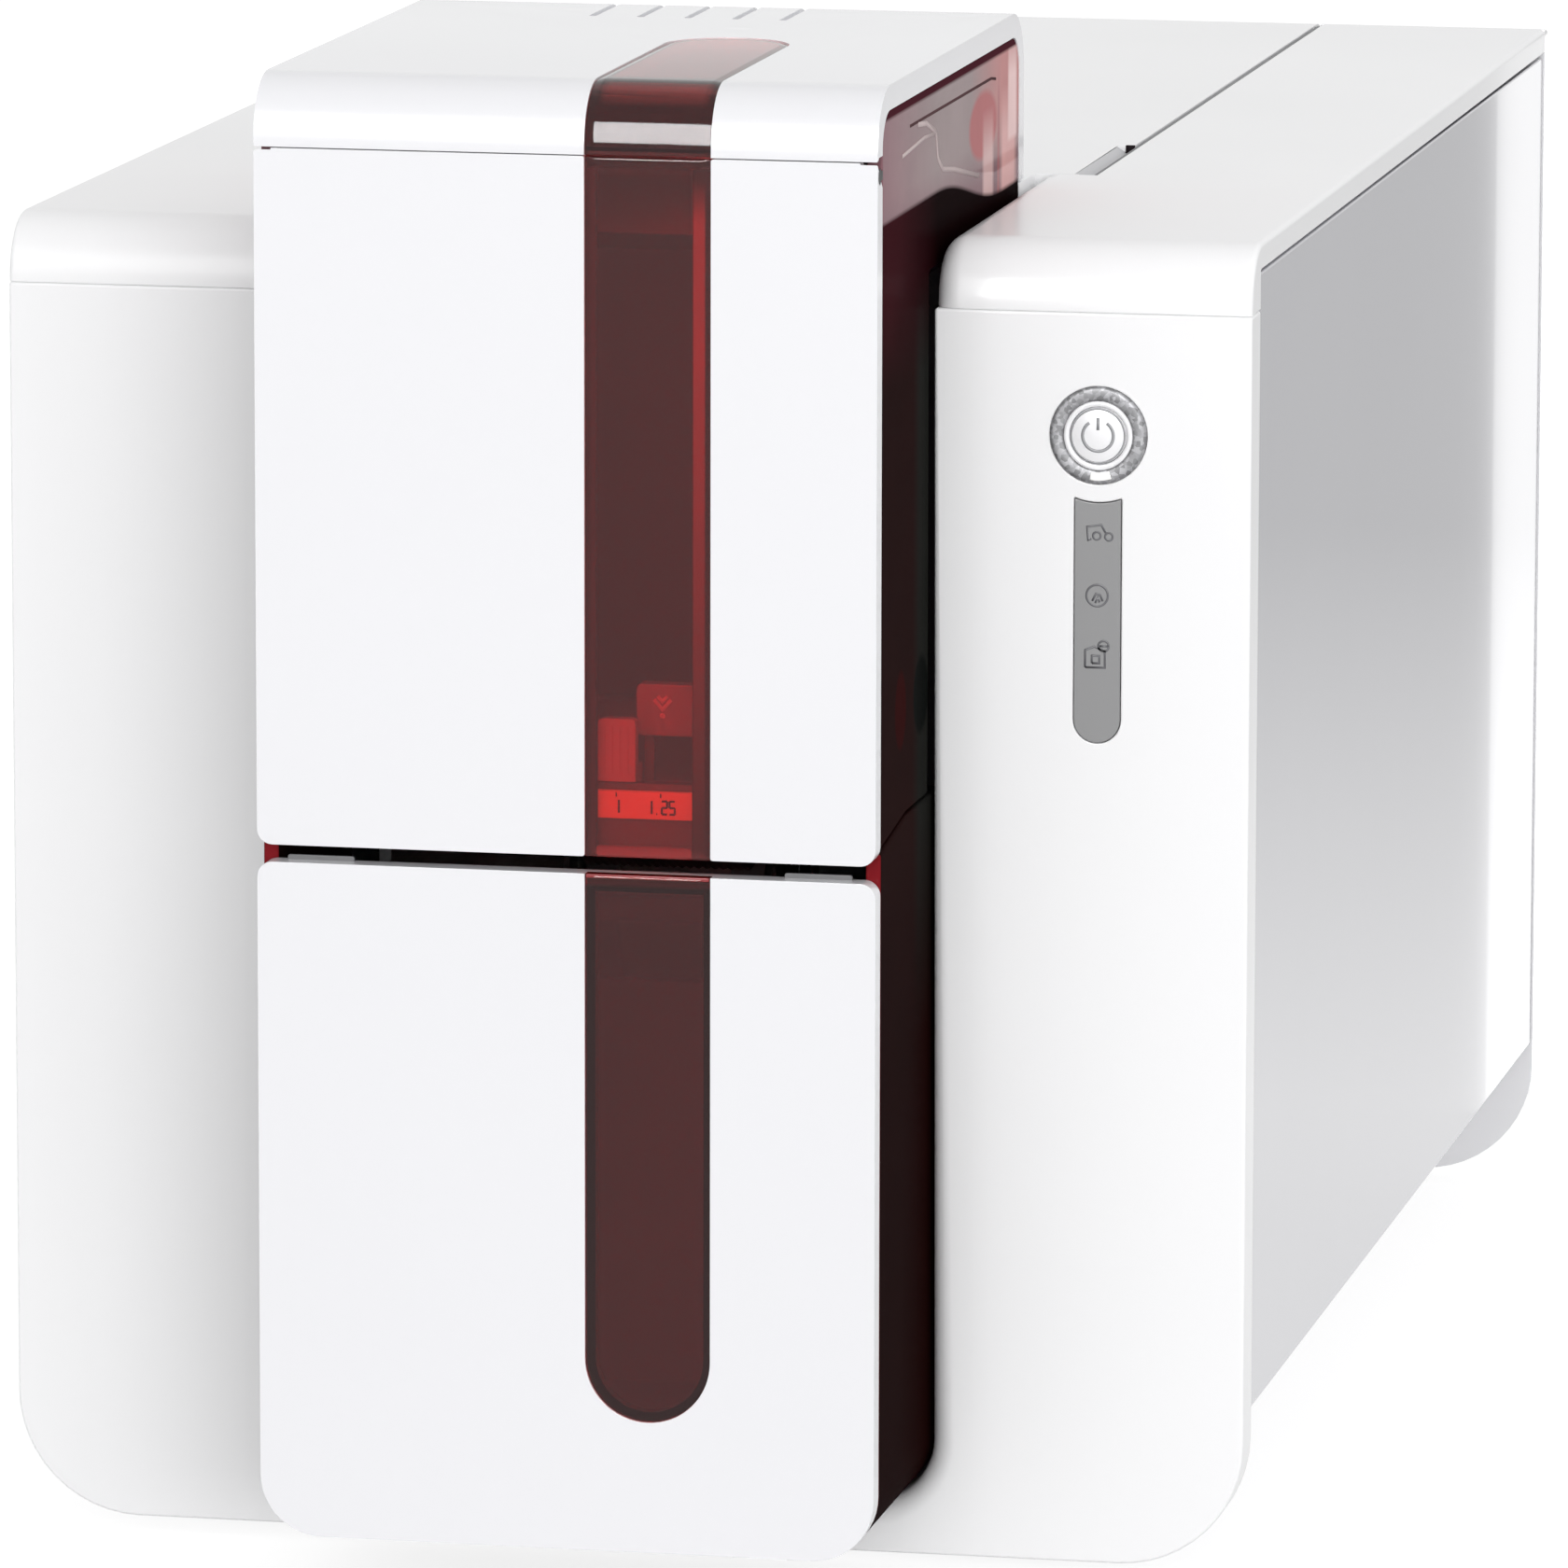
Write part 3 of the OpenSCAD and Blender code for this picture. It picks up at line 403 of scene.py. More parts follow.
def eased_slab(points, normals, radius, depth, steps=5):
    """A slab whose front edge is rounded by its own radius at each point of the outline: ring k
    lies r(1 - sin a) inside the outline and r(1 - cos a) behind the face."""
    a = np.linspace(0, np.pi / 2, steps)[:, None]
    r = np.broadcast_to(radius, len(points))[None]
    inset = np.r_[r * (1 - np.sin(a)), np.zeros((1, len(points)))]
    behind = np.r_[r * (1 - np.cos(a)), np.full((1, len(points)), depth)]
    ring = points[None] - inset[..., None] * normals[None]
    return capped(np.concatenate([ring, behind[..., None]], 2).reshape(-1, 3), len(points))


def even(thing):
    """Lets the large flat faces rule the shading at their rounded edges."""
    weigh = thing.modifiers.new("even", "WEIGHTED_NORMAL")
    weigh.weight, weigh.keep_sharp = 90, True


white = moulding("white_gloss_plastic", "#FBFBFC", 0.3, Coat_Weight=0.25, Coat_Roughness=0.1,
                 Specular_IOR_Level=0.15)

face_y, panel_y, side_x, seam_z, hood_gap_x = -146.2, -138.0, 102.5, 207.2, 50.9
button_x, button_z, lamp_low = 77.7, 187.4, 137.5
foot_h, case_r, sharp_r = 2.3, 20.5, 0.5


def lamp_slot(grow):
    """The indicator strip's outline: straight sides, a round lower end, and at the top a hollow
    that follows the button's ring at 3.3 mm."""
    r, reach = 3.8 + grow, 10.9 - grow
    low = np.linspace(np.pi, 2 * np.pi, 17)
    half = np.arcsin(r / reach)
    high = np.linspace(-np.pi / 2 + half, -np.pi / 2 - half, 11)
    return np.r_[np.c_[button_x + r * np.cos(low), lamp_low + 3.8 + r * np.sin(low)],
                 np.c_[button_x + reach * np.cos(high), button_z + reach * np.sin(high)]]


edge = rounded_line([(-side_x, foot_h), (side_x, foot_h), (side_x, seam_z),
                     (hood_gap_x, seam_z), (hood_gap_x, 10.4), (-hood_gap_x, 10.4), (-hood_gap_x, seam_z),
                     (-side_x, seam_z)],
                    [case_r, case_r, sharp_r, sharp_r, 10.6, 10.6, sharp_r, sharp_r], arc=13)
beside_hood = (abs(edge[0][:, 0]) < 61.6) & (edge[0][:, 1] < seam_z - 0.6) & (edge[0][:, 1] > 10.3)
front_frame = piece("front_frame_shell",
                    laid(eased_slab(*edge, np.where(beside_hood, 4.0, 0.5), panel_y - face_y),
                         facing_front(face_y), "front_frame_shell"), white, "base", "shell", "front_frame")
carve(front_frame,
      cutter(rect(-100, 27, 100, 220, 0.5), 12, facing_front(face_y + 4.2)),
      cutter(disc(button_x, button_z, 7.95), 20, facing_front(face_y - 5)),
      cutter(lamp_slot(0.1), 20, facing_front(face_y - 5)))
even(rim(front_frame, 0.25, 60))

# ---- Side panels ----
# Each side is closed by a thin high-gloss plastic panel that snaps in behind the front frame
# and stands a hair inside it.


def facing_side(side, x0):
    """Slab coordinates as Y, Z and depth inward from x0 on the right (1) or left (-1)."""
    return lambda u, v, w: (side * (x0 - w), u, v)


def plate(name, outline, depth, place_of, *given, edge=0.0, angle=35, stations=()):
    """A piece that is a slab of this outline; given is what piece() takes after the mesh."""
    thing = piece(name, laid(slab(outline, depth, stations), place_of, name), *given)
    return rim(thing, edge, angle) if edge else thing


sides = (("right", 1), ("left", -1))
gloss = moulding("side_panel_gloss", "#BABAC0", 0.10, clouding=0.97, scuffing=0.02, grain=500.0,
                 bump=0.01, Coat_Weight=0.3, Coat_Roughness=0.03)
for name, side in sides:
    plate(name + "_side_skin", rect(-137.6, 27, 182.6, 213.0, 0.6, 5), 2.5, facing_side(side, 102.2), gloss,
          "base", "panel_gloss", name + "_side_panel", edge=0.4)

# ---- Top casings ----
# Two white mouldings close the top beside the hood and the lid. Each rolls over the front edge
# down to a seam with the front frame, and its lip overlaps the side panel.
body_h, fascia_y, lid_gap_x = 218.1, 183.0, 60.4


def lengths(path):
    """How far each point of a path lies along it."""
    return np.r_[0, np.cumsum(np.linalg.norm(np.diff(path, axis=0), axis=1))]


def bent(path, normals, side=1):
    """The place of a slab wound on a path of Y and Z: point(u) - depth * normal(u), with X = side * v."""
    run = lengths(path)

    def place_of(u, v, w):
        y, z = (np.interp(u, run, path[:, k]) - w * np.interp(u, run, normals[:, k]) for k in (0, 1))
        return side * v, y, z
    return place_of


top_path, top_normal = rounded_line([(face_y, seam_z + 0.06), (face_y, body_h), (fascia_y, body_h)],
                                    [0, 10, 0], closed=False, arc=13)
top_run = lengths(top_path)


def on_run(y):
    """Distance along the casing's side view at which its flat top reaches y."""
    return top_run[-1] - (fascia_y - y)


def carried(profile, stations, place_of, name="cutter"):
    """A closed profile of (v, w) carried along a path: ring i is place_of(u_i, v, w)."""
    v, w = np.tile(profile, (len(stations), 1)).T
    co = np.stack(place_of(np.repeat(stations, len(profile)), v, w), 1) / 1000
    return meshed(capped(co, len(profile)), name)


def casing_profile(x, r):
    """Cross-section of a casing from its edge at x, rounded by r, to its lip: (across, depth)."""
    return rounded_line([(x, 0), (x, 6.5), (x + 2.5, 6.5), (x + 2.5, 2.5), (100, 2.5), (100, 4.4),
                         (side_x, 4.4), (side_x, 0)], [r, 0.4, 0.4, 0.4, 0.4, 0.4, 0.4, 0.9], arc=9)[0]


for name, side in sides:
    over_top = bent(top_path, -top_normal, side)
    front_run = np.r_[top_run[top_run < 17], on_run(-55.2)]
    casing = piece(name + "_casing_shell",
                   carried(casing_profile(hood_gap_x, 4), front_run, over_top, name + "_casing_shell"),
                   white, "base", "shell", name + "_casing")
    carve(casing,
          carried(casing_profile(lid_gap_x, 0.9), np.array([on_run(-57), top_run[-1]]), over_top),
          cutter(rect(-143, seam_z + 0.3, -138.05, 214), 2.4, facing_side(side, side_x)),
          how="UNION")
    even(rim(casing, 0.3, 60))

# ---- Rear panel ----
# One moulding closes the rear. Its top edge rolls over to the casings, the lid's curled rear
# edge drops into its low middle, and its holes bare the sockets and the rear card slot.
rear_y = 190.5


def facing_rear(y0):
    """Slab coordinates as X, Z and depth before the plane y0."""
    return lambda u, v, w: (u, y0 - w, v)


def from_left(x0):
    """Slab coordinates as Y, Z and depth rightward from x0."""
    return lambda u, v, w: (x0 + w, u, v)


rear = rounded_line([(-side_x, foot_h), (side_x, foot_h), (side_x, body_h), (lid_gap_x, body_h),
                     (lid_gap_x, 202.6), (-lid_gap_x, 202.6), (-lid_gap_x, body_h), (-side_x, body_h)],
                    [case_r, case_r, *[sharp_r] * 6], arc=13)[0]
rear_shell = plate("rear_shell", rear, 7.5, facing_rear(rear_y),
                   moulding("rear_gloss_plastic", "#F6F6F8", 0.2, Coat_Weight=1.0, Coat_Roughness=0.08),
                   "base", "shell", "rear_panel")
roll = rounded_line([(rear_y + 9, 180), (rear_y + 9, 230), (160, 230), (160, body_h + 0.01),
                     (rear_y, body_h + 0.01), (rear_y, 180)], [0.5, 0.5, 0.5, 0.5, 7.5, 0.5], arc=13)[0]
cuts = [cutter(roll, 240, from_left(-120)), cutter(rect(-100, 27, 100, 208.1), 10, facing_rear(rear_y - 2.5))]
for x, wide, high in ((-60, 12, 10.6), (-32, 12, 11), (0, 16, 13.5)):
    hole = rect(x - wide / 2 - 0.3, 15.3, x + wide / 2 + 0.3, 15.9 + high, 0.8, 5)
    cuts.append(cutter(hole, 20, facing_rear(rear_y + 5)))
cuts.append(cutter(rect(-28.6, 127, 28.6, 130.5, 1.2, 5), 20, facing_rear(rear_y + 5)))
for z in 40 + 6 * np.arange(9):
    cuts.append(cutter(rect(40, z, 84, z + 2.4, 1.1, 5), 3, facing_rear(rear_y + 1.6)))
carve(rear_shell, *cuts)
rim(rear_shell, 0.8, 50)

# ---- Hood: shroud below, and the lid's band above ----
# The lower half of the hood is a U-shaped dark red moulding fixed to the front frame. The
# upper half belongs to the lid: a white band bent over front, top and rear.


def times(tree, *masks):
    """The product of masks."""
    got = masks[0]
    for mask in masks[1:]:
        got = math(tree, "MULTIPLY", got, mask)
    return got


def overlay(made, mask, over, blend="MIX"):
    """Lays a colour over a material's own colour where the mask is 1."""
    base = made.node_tree.nodes["Principled BSDF"].inputs["Base Color"]
    made.node_tree.links.new(mixed(made.node_tree, mask, base.links[0].from_socket, over, blend), base)


def deep_red(name, split_z, roughness=0.3):
    """A dark red moulding, clear on the real printer but opaque here, whose colour paints what shows
    through it. Below split_z it is painted with the dark parts behind it and painted shade of the
    hood's inside: maroon at the front, greenish black at the rear, darker towards the bottom, with
    two dark ovals where the feeder tray's windows lie behind and a red line along its front edge.
    Above it the colour is partly the white band showing through, rosy, and partly painted
    reflection, paler at the rear. At its rear corner lie painted highlights: bright folds of light,
    a pale triangle and a red spot. It is darker along its top edge."""
    made, tree, shader = new_material(name, IOR=1.0, Coat_Roughness=0.06)
    where = point_of(tree)
    axis = place(tree, "SeparateXYZ", {0: where}).outputs

    def along(which, start, end):
        """0 before start, 1 after end, in millimetres along the axis."""
        return ramp(tree, axis[which], start / 1000, end / 1000)

    def oval(y, z, half_y, half_z):
        """1 within an oval about y, z, with a soft edge."""
        put = place(tree, "Mapping", {"Vector": where, "Location": (0, y / 1000, z / 1000),
                                      "Scale": (1, half_y / 1000, half_z / 1000)}, vector_type="TEXTURE")
        flat = place(tree, "VectorMath", {0: put.outputs[0], 1: (0, 1, 1)}, operation="MULTIPLY")
        size = place(tree, "VectorMath", {0: flat.outputs[0]}, operation="LENGTH").outputs["Value"]
        return ramp(tree, size, 1.1, 0.9)

    dip = ramp(tree, axis["Y"], -0.145, -0.080, 0.0, 0.0065, interpolation_type="SMOOTHERSTEP")
    above = ramp(tree, math(tree, "ADD", axis["Z"], dip), (split_z - 0.4) / 1000, (split_z + 0.4) / 1000)
    # Painted shade: below the split the colour stands for the dark parts behind and the shade inside the
    # hood.
    low = mixed(tree, along("Y", -160, -154), "#22100F", "#1F1F1D")
    shaded_under_split = mixed(tree, along("Y", -178, -140), "#3A1219", "#120506")
    for mask, colour in ((along("Z", 126, 90), "#1C0A09"), (along("Z", 198, 214), shaded_under_split),
                         (oval(-169.8, 145.6, 4.5, 6.2), "#300A0A"), (oval(-153, 145.6, 6, 6.2), "#101211"),
                         (along("Y", -185.9, -186.1), "#7A1C22")):
        low = mixed(tree, mask, low, colour)
    # Painted highlights: a pale triangle, a red spot and bright folds of light at the rear corner stand for
    # light refracted in the lid's curved corner.
    painted_highlights = [(along("Z", 229, 222), "#86656C"),
              (times(tree, along("Y", -112, -84), along("Z", 224, 232)), "#BE7C7A"),
              (oval(-101, 231.5, 12, 5.5), "#B05A5C")]
    for y, half, z0, z1, code in ((-96.5, 5.5, 217, 230, "#D2AEAC"), (-78.5, 8, 217, 232, "#DCA9A6"),
                                  (-75, 4.6, 226, 241, "#EBC8C6"), (-87.3, 1.1, 217, 236, "#A86A6C")):
        painted_highlights.append((times(tree, along("Y", y - half, y - half * 0.6), along("Y", y + half, y + half * 0.6),
                             along("Z", z0, z0 + 1), along("Z", z1 + 4, z1 - 4)), code))
    # Painted reflection: above the split a rosy colour, partly the white band behind and partly a reflection,
    # paler at the rear.
    high = mixed(tree, along("Y", -186, -140), "#8C626A", "#988686")
    for mask, code in (*painted_highlights, (along("Z", 241.2, 241.8), "#4A1E28")):
        high = mixed(tree, mask, high, code)
    spots = noise(tree, where, 60.0, 3.0)
    both = mixed(tree, above, low, high)
    tree.links.new(mixed(tree, 1.0, both, ramp(tree, spots, 0.0, 1.0, 0.85, 1.15), "MULTIPLY"),
                   shader["Base Color"])
    tree.links.new(ramp(tree, times(tree, above, along("Z", 241.8, 241.3)), 0.0, 1.0, 0.02, 0.36),
                   shader["Coat Weight"])
    tree.links.new(ramp(tree, spots, 0.0, 1.0, roughness - 0.05, roughness + 0.05), shader["Roughness"])
    return made


cheek_red = deep_red("cheek_red", 225.4)
shroud_red = deep_red("shroud_red", 400)

front_y, hood_x, hood_low, shroud_top, hood_top = -190.5, 50.3, 11, 131, 247
shroud_path, shroud_normal = rounded_line([(-hood_x, shroud_top), (-hood_x, hood_low), (hood_x, hood_low),
                                           (hood_x, shroud_top)], [0, 10, 10, 0], closed=False, arc=13)
shroud_run = lengths(shroud_path)
right_edge = shroud_run[-1]


def up_right(z):
    """Distance along the shroud's path at which its right wall reaches z."""
    return right_edge - (shroud_top - z)


shape = rounded_line([(shroud_top - 125.4, -186.3), (up_right(125.2), -186.3), (up_right(127.9), -165),
                      (up_right(127.9), -136), (shroud_top - 127.9, -136), (shroud_top - 127.9, -165)],
                     [0.6, 0.6, 5, 0.6, 0.6, 5], arc=7)[0]
wound = bent(shroud_path, shroud_normal)


def round_hood(u, v, w):
    """The place of a slab wound round the shroud's path of X and Z, with v as Y."""
    y, x, z = wound(u, v, w)
    return x, y, z


plate("shroud_shell", shape, 2.5, round_hood, shroud_red, "base", "shroud_red", "hopper_shroud", edge=0.5,
      stations=shroud_run[(shroud_run > 80) & (shroud_run < right_edge - 80)])

# The hood's white is the case's white plastic made a little greyer. This is painted shade that keeps its
# brightly lit faces from washing out.
shaded_hood_white = moulding("hood_white_plastic", "#ECECEF", 0.2, Coat_Weight=0.3, Coat_Roughness=0.06)
band_path, band_normal = rounded_line([(front_y, 235.5), (front_y, hood_top), (-65, hood_top), (-65, body_h)],
                                      [0, 9.99, 9.99, 0], closed=False, arc=13)
band_run = lengths(band_path)
band_end = band_run[-1]
bends = band_run[(band_run > 0.3) & (band_run < band_end - 0.3)]
over_hood = bent(band_path, -band_normal)
turn_y, strip_x, strip_r = -180.5, 13.4, 10.2


def on_band(y):
    """Distance along the band at which its flat top reaches y."""
    return band_run[np.argmin(abs(band_path[:, 0] - turn_y) + abs(band_path[:, 1] - hood_top))] + (y - turn_y)


def strip_line(grow, start):
    """The window strip laid flat: straight sides and a round end on the hood's top."""
    r = strip_r + grow
    t = np.linspace(-np.pi / 2, np.pi / 2, 25)
    return np.r_[[(start, strip_x - r)], np.c_[on_band(-130.2) + r * np.cos(t), strip_x + r * np.sin(t)],
                 [(start, strip_x + r)]]


def strip_slab(grow, start, depth):
    """The strip as a slab that starts 3 mm above the band's face."""
    return laid(slab(strip_line(grow, start), depth, bends), lambda u, v, w: over_hood(u, v, w - 3))


band = plate("hood_band_shell", rect(0, -hood_x, band_end, hood_x, 0.8, 5), 4, over_hood, shaded_hood_white, "lid",
             "shell", "hood_band", stations=bends)
ribs = [cutter(rect(x - 0.6, -93, x + 0.6, -71, 0.55, 5), 3, lambda u, v, w: (u, v, 248 - w * 0.65))
        for x in (-17, -9, -1, 7, 15)]
swing_room = [(-191.5, 234), (-185, 234), (-185, 236.45), (-189.6, 236.45), (-189.6, 235.72),
              (-191.5, 236.02)]
carve(band, strip_slab(0, -3, 5), strip_slab(-1.5, 21, 12), *ribs,
      cutter(np.array(swing_room), 104, from_left(-52)))
rim(band, 0.5, 40)


def painted(thing, paint, inside):
    """Gives the faces whose middle lies inside, as (x, y, z) in millimetres says, another
    material."""
    faces = thing.data.polygons
    thing.data.materials.append(paint)
    middle, slots = np.empty(len(faces) * 3, np.float32), np.empty(len(faces), np.int32)
    faces.foreach_get("center", middle)
    faces.foreach_get("material_index", slots)
    slots[inside(*middle.reshape(-1, 3).T * 1000)] = len(thing.data.materials) - 1
    faces.foreach_set("material_index", slots)


def band_ledge(x, y, z):
    """The recess floor of the band, 2 mm under its skin."""
    round_part = (y < turn_y) & (z > 237) & (abs(np.hypot(y - turn_y, z - 237) - 8) < 0.15)
    flat_part = (y > -178) & (y < -121) & (abs(z - 245) < 0.05)
    front_part = (z < 237) & (abs(y + 188.5) < 0.05)
    return (abs(x - strip_x) < 10.15) & (front_part | flat_part | round_part)


# Black tape covers the recess floors under the strips. At the top of the rounding and at the lower
# strip's top, a pale colour is painted on it instead: painted light, standing for light that gets in there.
tape = moulding("window_tape", "#2A2226", 0.7, scuffing=0.02, grain=3000.0, bump=0.2, IOR=1.1)
painted(band, tape, band_ledge)
tree = tape.node_tree
axis = axes_of(tree)
off_middle = math(tree, "ABSOLUTE", math(tree, "SUBTRACT", axis["X"], strip_x / 1000))
painted_light_turn = times(tree, ramp(tree, axis["Z"], 0.2428, 0.2452), ramp(tree, off_middle, 0.0090, 0.0078))
painted_light_lip = times(tree, ramp(tree, axis["Z"], 0.1188, 0.1194), ramp(tree, axis["Z"], 0.1300, 0.1299))
# Painted light: the pale colour where light gets in.
overlay(tape, math(tree, "MAXIMUM", painted_light_turn, painted_light_lip), "#B8847C")

# A dark sheet lines the hood. It is painted shade that keeps the feeder behind the window dark.
painted_shade_liner = moulding("hood_liner_dark", "#2E2C2F", 0.7, clouding=0.9, scuffing=0.05, grain=1200.0, bump=0.15)
liner = plate("hood_liner", rect(9, -47.4, band_end - 1, 47.4, 1), 0.5,
              lambda u, v, w: over_hood(u, v, w + 4.06), painted_shade_liner, "lid", "bin_dark", stations=bends)
carve(liner, strip_slab(-1.5, 21, 12))

# ---- Window strips ----
# A strip of smoked red clear plastic runs over the hood's front, in one piece with each part
# that it crosses, so that it opens with the upper door, the lower door and the lid.


def red_glass(name, code, tint, roughness=0.06):
    """Clear plastic dyed through: it bends light as plastic does, its dye glows faintly where lamp
    light falls, and it lets lamp light through, dyed, so that the parts behind it show."""
    made, tree, shader = new_material(name, Transmission_Weight=0.968, IOR=1.37)
    spots = noise(tree, point_of(tree), 90.0, 3.0)
    tree.links.new(ramp(tree, spots, 0.0, 1.0, roughness * 0.6, roughness * 1.6), shader["Roughness"])
    tree.links.new(mixed(tree, spots, code, [c * 0.94 for c in linear(code)]), shader["Base Color"])
    clear = place(tree, "BsdfTransparent", {"Color": linear(tint)})
    both = place(tree, "MixShader", {0: place(tree, "LightPath").outputs["Is Shadow Ray"],
                                     1: tree.nodes["Principled BSDF"].outputs[0], 2: clear.outputs[0]})
    tree.links.new(both.outputs[0], tree.nodes["Material Output"].inputs["Surface"])
    return made


smoked = red_glass("smoked_red", "#BE5A5A", "#C86A6A")


def window(name, outline, place_of, *given, stations=()):
    """A window strip 2 mm thick: its face, then a margin of 1.4 mm that slopes down by 0.28 mm,
    then straight walls. outline(inset) is its outline there, always with as many points."""
    rings = [np.c_[outline(inset), np.full(len(outline(inset)), w)]
             for inset, w in ((1.4, 0.0), (0.0, 0.28), (0.0, 2.0))]
    mesh = laid(capped(np.concatenate(rings), len(rings[0]), stations), place_of, name)
    return rim(piece(name, mesh, smoked, *given), 0.12, 9)


window("hood_strip", lambda inset: strip_line(-0.05 - inset, 0.3 + inset), over_hood, "lid", "window_red",
       "hood_window", stations=bends)

# ---- Upper door ----
# The feeder door hangs on two pins under the band. It is a white moulding with the red window
# set flush in its face; its lower edge and the lower door's upper edge leave a gap.
low, high = 123.9, 235.66
pivot_y, feeder_pivot, output_pivot = -188.5, 233.4, 13
on_front = facing_front(front_y)


def ear_room(x, half, z, way):
    """The room behind a door's skin for a hinge's ear: what lies behind a slope of 45 degrees
    through the pivot, and a round of 1.4 mm about it."""
    a = np.linspace(way * -np.pi / 4, way * -np.pi / 4 - way * np.pi, 17)
    bow = np.c_[pivot_y + 1.4 * np.cos(a), z + 1.4 * np.sin(a)]
    far = np.array([(pivot_y - 3.6, z + way * 3.6), (pivot_y + 5, z + way * 12), (-180, z - way * 8.5),
                    (pivot_y + 3.6, z - way * 3.6)])
    return cutter(np.r_[bow, far], 2 * half, from_left(x - half))


def edge_room(z, way):
    """The room that a door's inner edge by its pivot at z swings through: what lies behind a
    45 degree slope 1.84 mm from the pivot."""
    slope = np.array([(-189.4, z + way * 3.5), (-185, z - way * 0.9), (-185, z + way * 3.5)])[::way]
    return cutter(slope, 110, from_left(-55))


def edge_glow(name):
    """Black tape on the ledges beside the window, a little paler on the left. On the right, a pale
    stripe is painted on its inner half below z = 230 mm. This is painted light, standing for light
    caught in the window's edge that shows bright red, fading downwards."""
    made = moulding(name, "#2A2226", 0.6, scuffing=0.02, IOR=1.1)
    tree = made.node_tree
    axis = axes_of(tree)
    # Painted light: a pale stripe for light caught in the window's edge.
    bright = times(tree, ramp(tree, axis["X"], 0.0203, 0.0206), ramp(tree, axis["X"], 0.0224, 0.0221),
                   ramp(tree, axis["Z"], 0.120, 0.205), ramp(tree, axis["Z"], 0.232, 0.225))
    own = tree.nodes["Principled BSDF"].inputs["Base Color"].links[0].from_socket
    paler = mixed(tree, ramp(tree, axis["X"], 0.0042, 0.0039), "#40363C", own)
    overlay(made, ramp(tree, axis["X"], 0.011, 0.010), paler)
    overlay(made, bright, "#B0A4A4")
    return made


def joined(name, *meshes):
    """One mesh of several."""
    bm = bmesh.new()
    for mesh in meshes:
        bm.from_mesh(mesh)
        bpy.data.meshes.remove(mesh)
    got = bpy.data.meshes.new(name)
    bm.to_mesh(got)
    bm.free()
    return got


for name, x0, x1, radii, x_ear, nodes in (
        ("left", -hood_x, 3.2, [2.5, 0.4, 0.4, 0.6], -50.1, ["feeder_door"]),
        ("right", 23.6, hood_x, [0.4, 2.5, 0.6, 0.4], 50.1, [])):
    leaf = plate("feeder_door_" + name, rect(x0, low, x1, high, radii, 7), 4, on_front, shaded_hood_white,
                 "feeder_door", "shell", *nodes)
    carve(leaf, ear_room(x_ear, 2.6, feeder_pivot, 1), edge_room(feeder_pivot, 1))
    rim(leaf, 0.5)
stops = [cutter(rect(x0, 235.5, x1, 235.9), 0.8, facing_front(-188.7)) for x0, x1 in ((-47, 2.8), (24, 47))]
piece("feeder_door_stops", joined("stops", *stops), shaded_hood_white, "feeder_door", "shell")
ledge_dark = edge_glow("ledge_dark")
for name, x0, x1 in (("left", 3.2, 4.7), ("right", 20.3, 23.6)):
    plate("feeder_ledge_" + name, rect(x0, low, x1, high - 2, 0.3), 1.9, facing_front(front_y + 2.1),
          ledge_dark, "feeder_door", "shell", edge=0.2)
window("feeder_strip", lambda inset: rect(3.25 + inset, low + inset, 23.55 - inset, high - 0.25 * inset),
       on_front, "feeder_door", "window_red", "feeder_window")
# A pale grey bar behind the window's lower edge. It is painted light that shows through the window as the red
# glow there.
plate("feeder_lip_bar", rect(4.7, low, 20.3, low + 1.5, 0.4), 1.4, facing_front(front_y + 2.3),
      moulding("lip_painted_glow", "#8C8486", 0.5), "feeder_door", "shell", edge=0.2)

# ---- Lower door ----
# The output door is made like the upper one and turns about its lower edge. Its window ends in
# a round, and behind it printed cards drop into the bin.
door_top = 121.1


def low_strip(grow, top):
    """The lower strip: straight sides down to a half round about z = 42.5."""
    t = np.linspace(np.pi, 2 * np.pi, 33)
    r = strip_r + grow
    return np.r_[np.c_[strip_x + r * np.cos(t), 42.5 + r * np.sin(t)],
                 [(strip_x + r, top), (strip_x - r, top)]]


output_door = plate("output_door_leaf", rect(-hood_x, hood_low, hood_x, door_top, [10, 10, 2.5, 2.5], 13), 4,
                    on_front, shaded_hood_white, "output_door", "shell", "output_door")
carve(output_door, cutter(low_strip(0, 125), 4, facing_front(front_y - 2)),
      cutter(low_strip(-1.5, 118.1), 10, facing_front(front_y - 3)), edge_room(output_pivot, -1),
      *[ear_room(x, 3.2, output_pivot, -1) for x in (-33, 33)])
painted(output_door, tape, lambda x, y, z: (abs(x - strip_x) < 10.15) & (abs(y + 188.5) < 0.05)
        | (abs(x - strip_x) < 8.85) & (y > -188.45) & (y < -186.55))
rim(output_door, 0.5)
window("output_strip", lambda inset: low_strip(-0.05 - inset, door_top - 0.3 * inset), on_front,
       "output_door", "window_red", "output_window")
# A dark red bar along the strip's top edge. It is painted light: its red stands for lamp light caught in the
# window's edge.
plate("output_strip_edge_light", rect(3.4, 120.45, 23.4, 121.05, 0.2), 0.8, facing_front(front_y + 0.04),
      moulding("painted_edge_light_red", "#8A1C20", 0.25, scuffing=0.0), "output_door", "window_red", edge=0.12)
catch_steel = moulding("catch_steel", "#5C5C5E", 0.5, grain=1500.0, bump=0.2)
for name, side in sides:
    near, far = 35 * side, 46 * side
    tongue = [(near, 119), (far, 119), (far, 121.9), (near, 121.9)][::side]
    plate(name + "_door_catch", rounded_line(tongue, 0.4, arc=4)[0], 0.6, facing_front(-187.6),
          catch_steel, "output_door", "steel", edge=0.15)

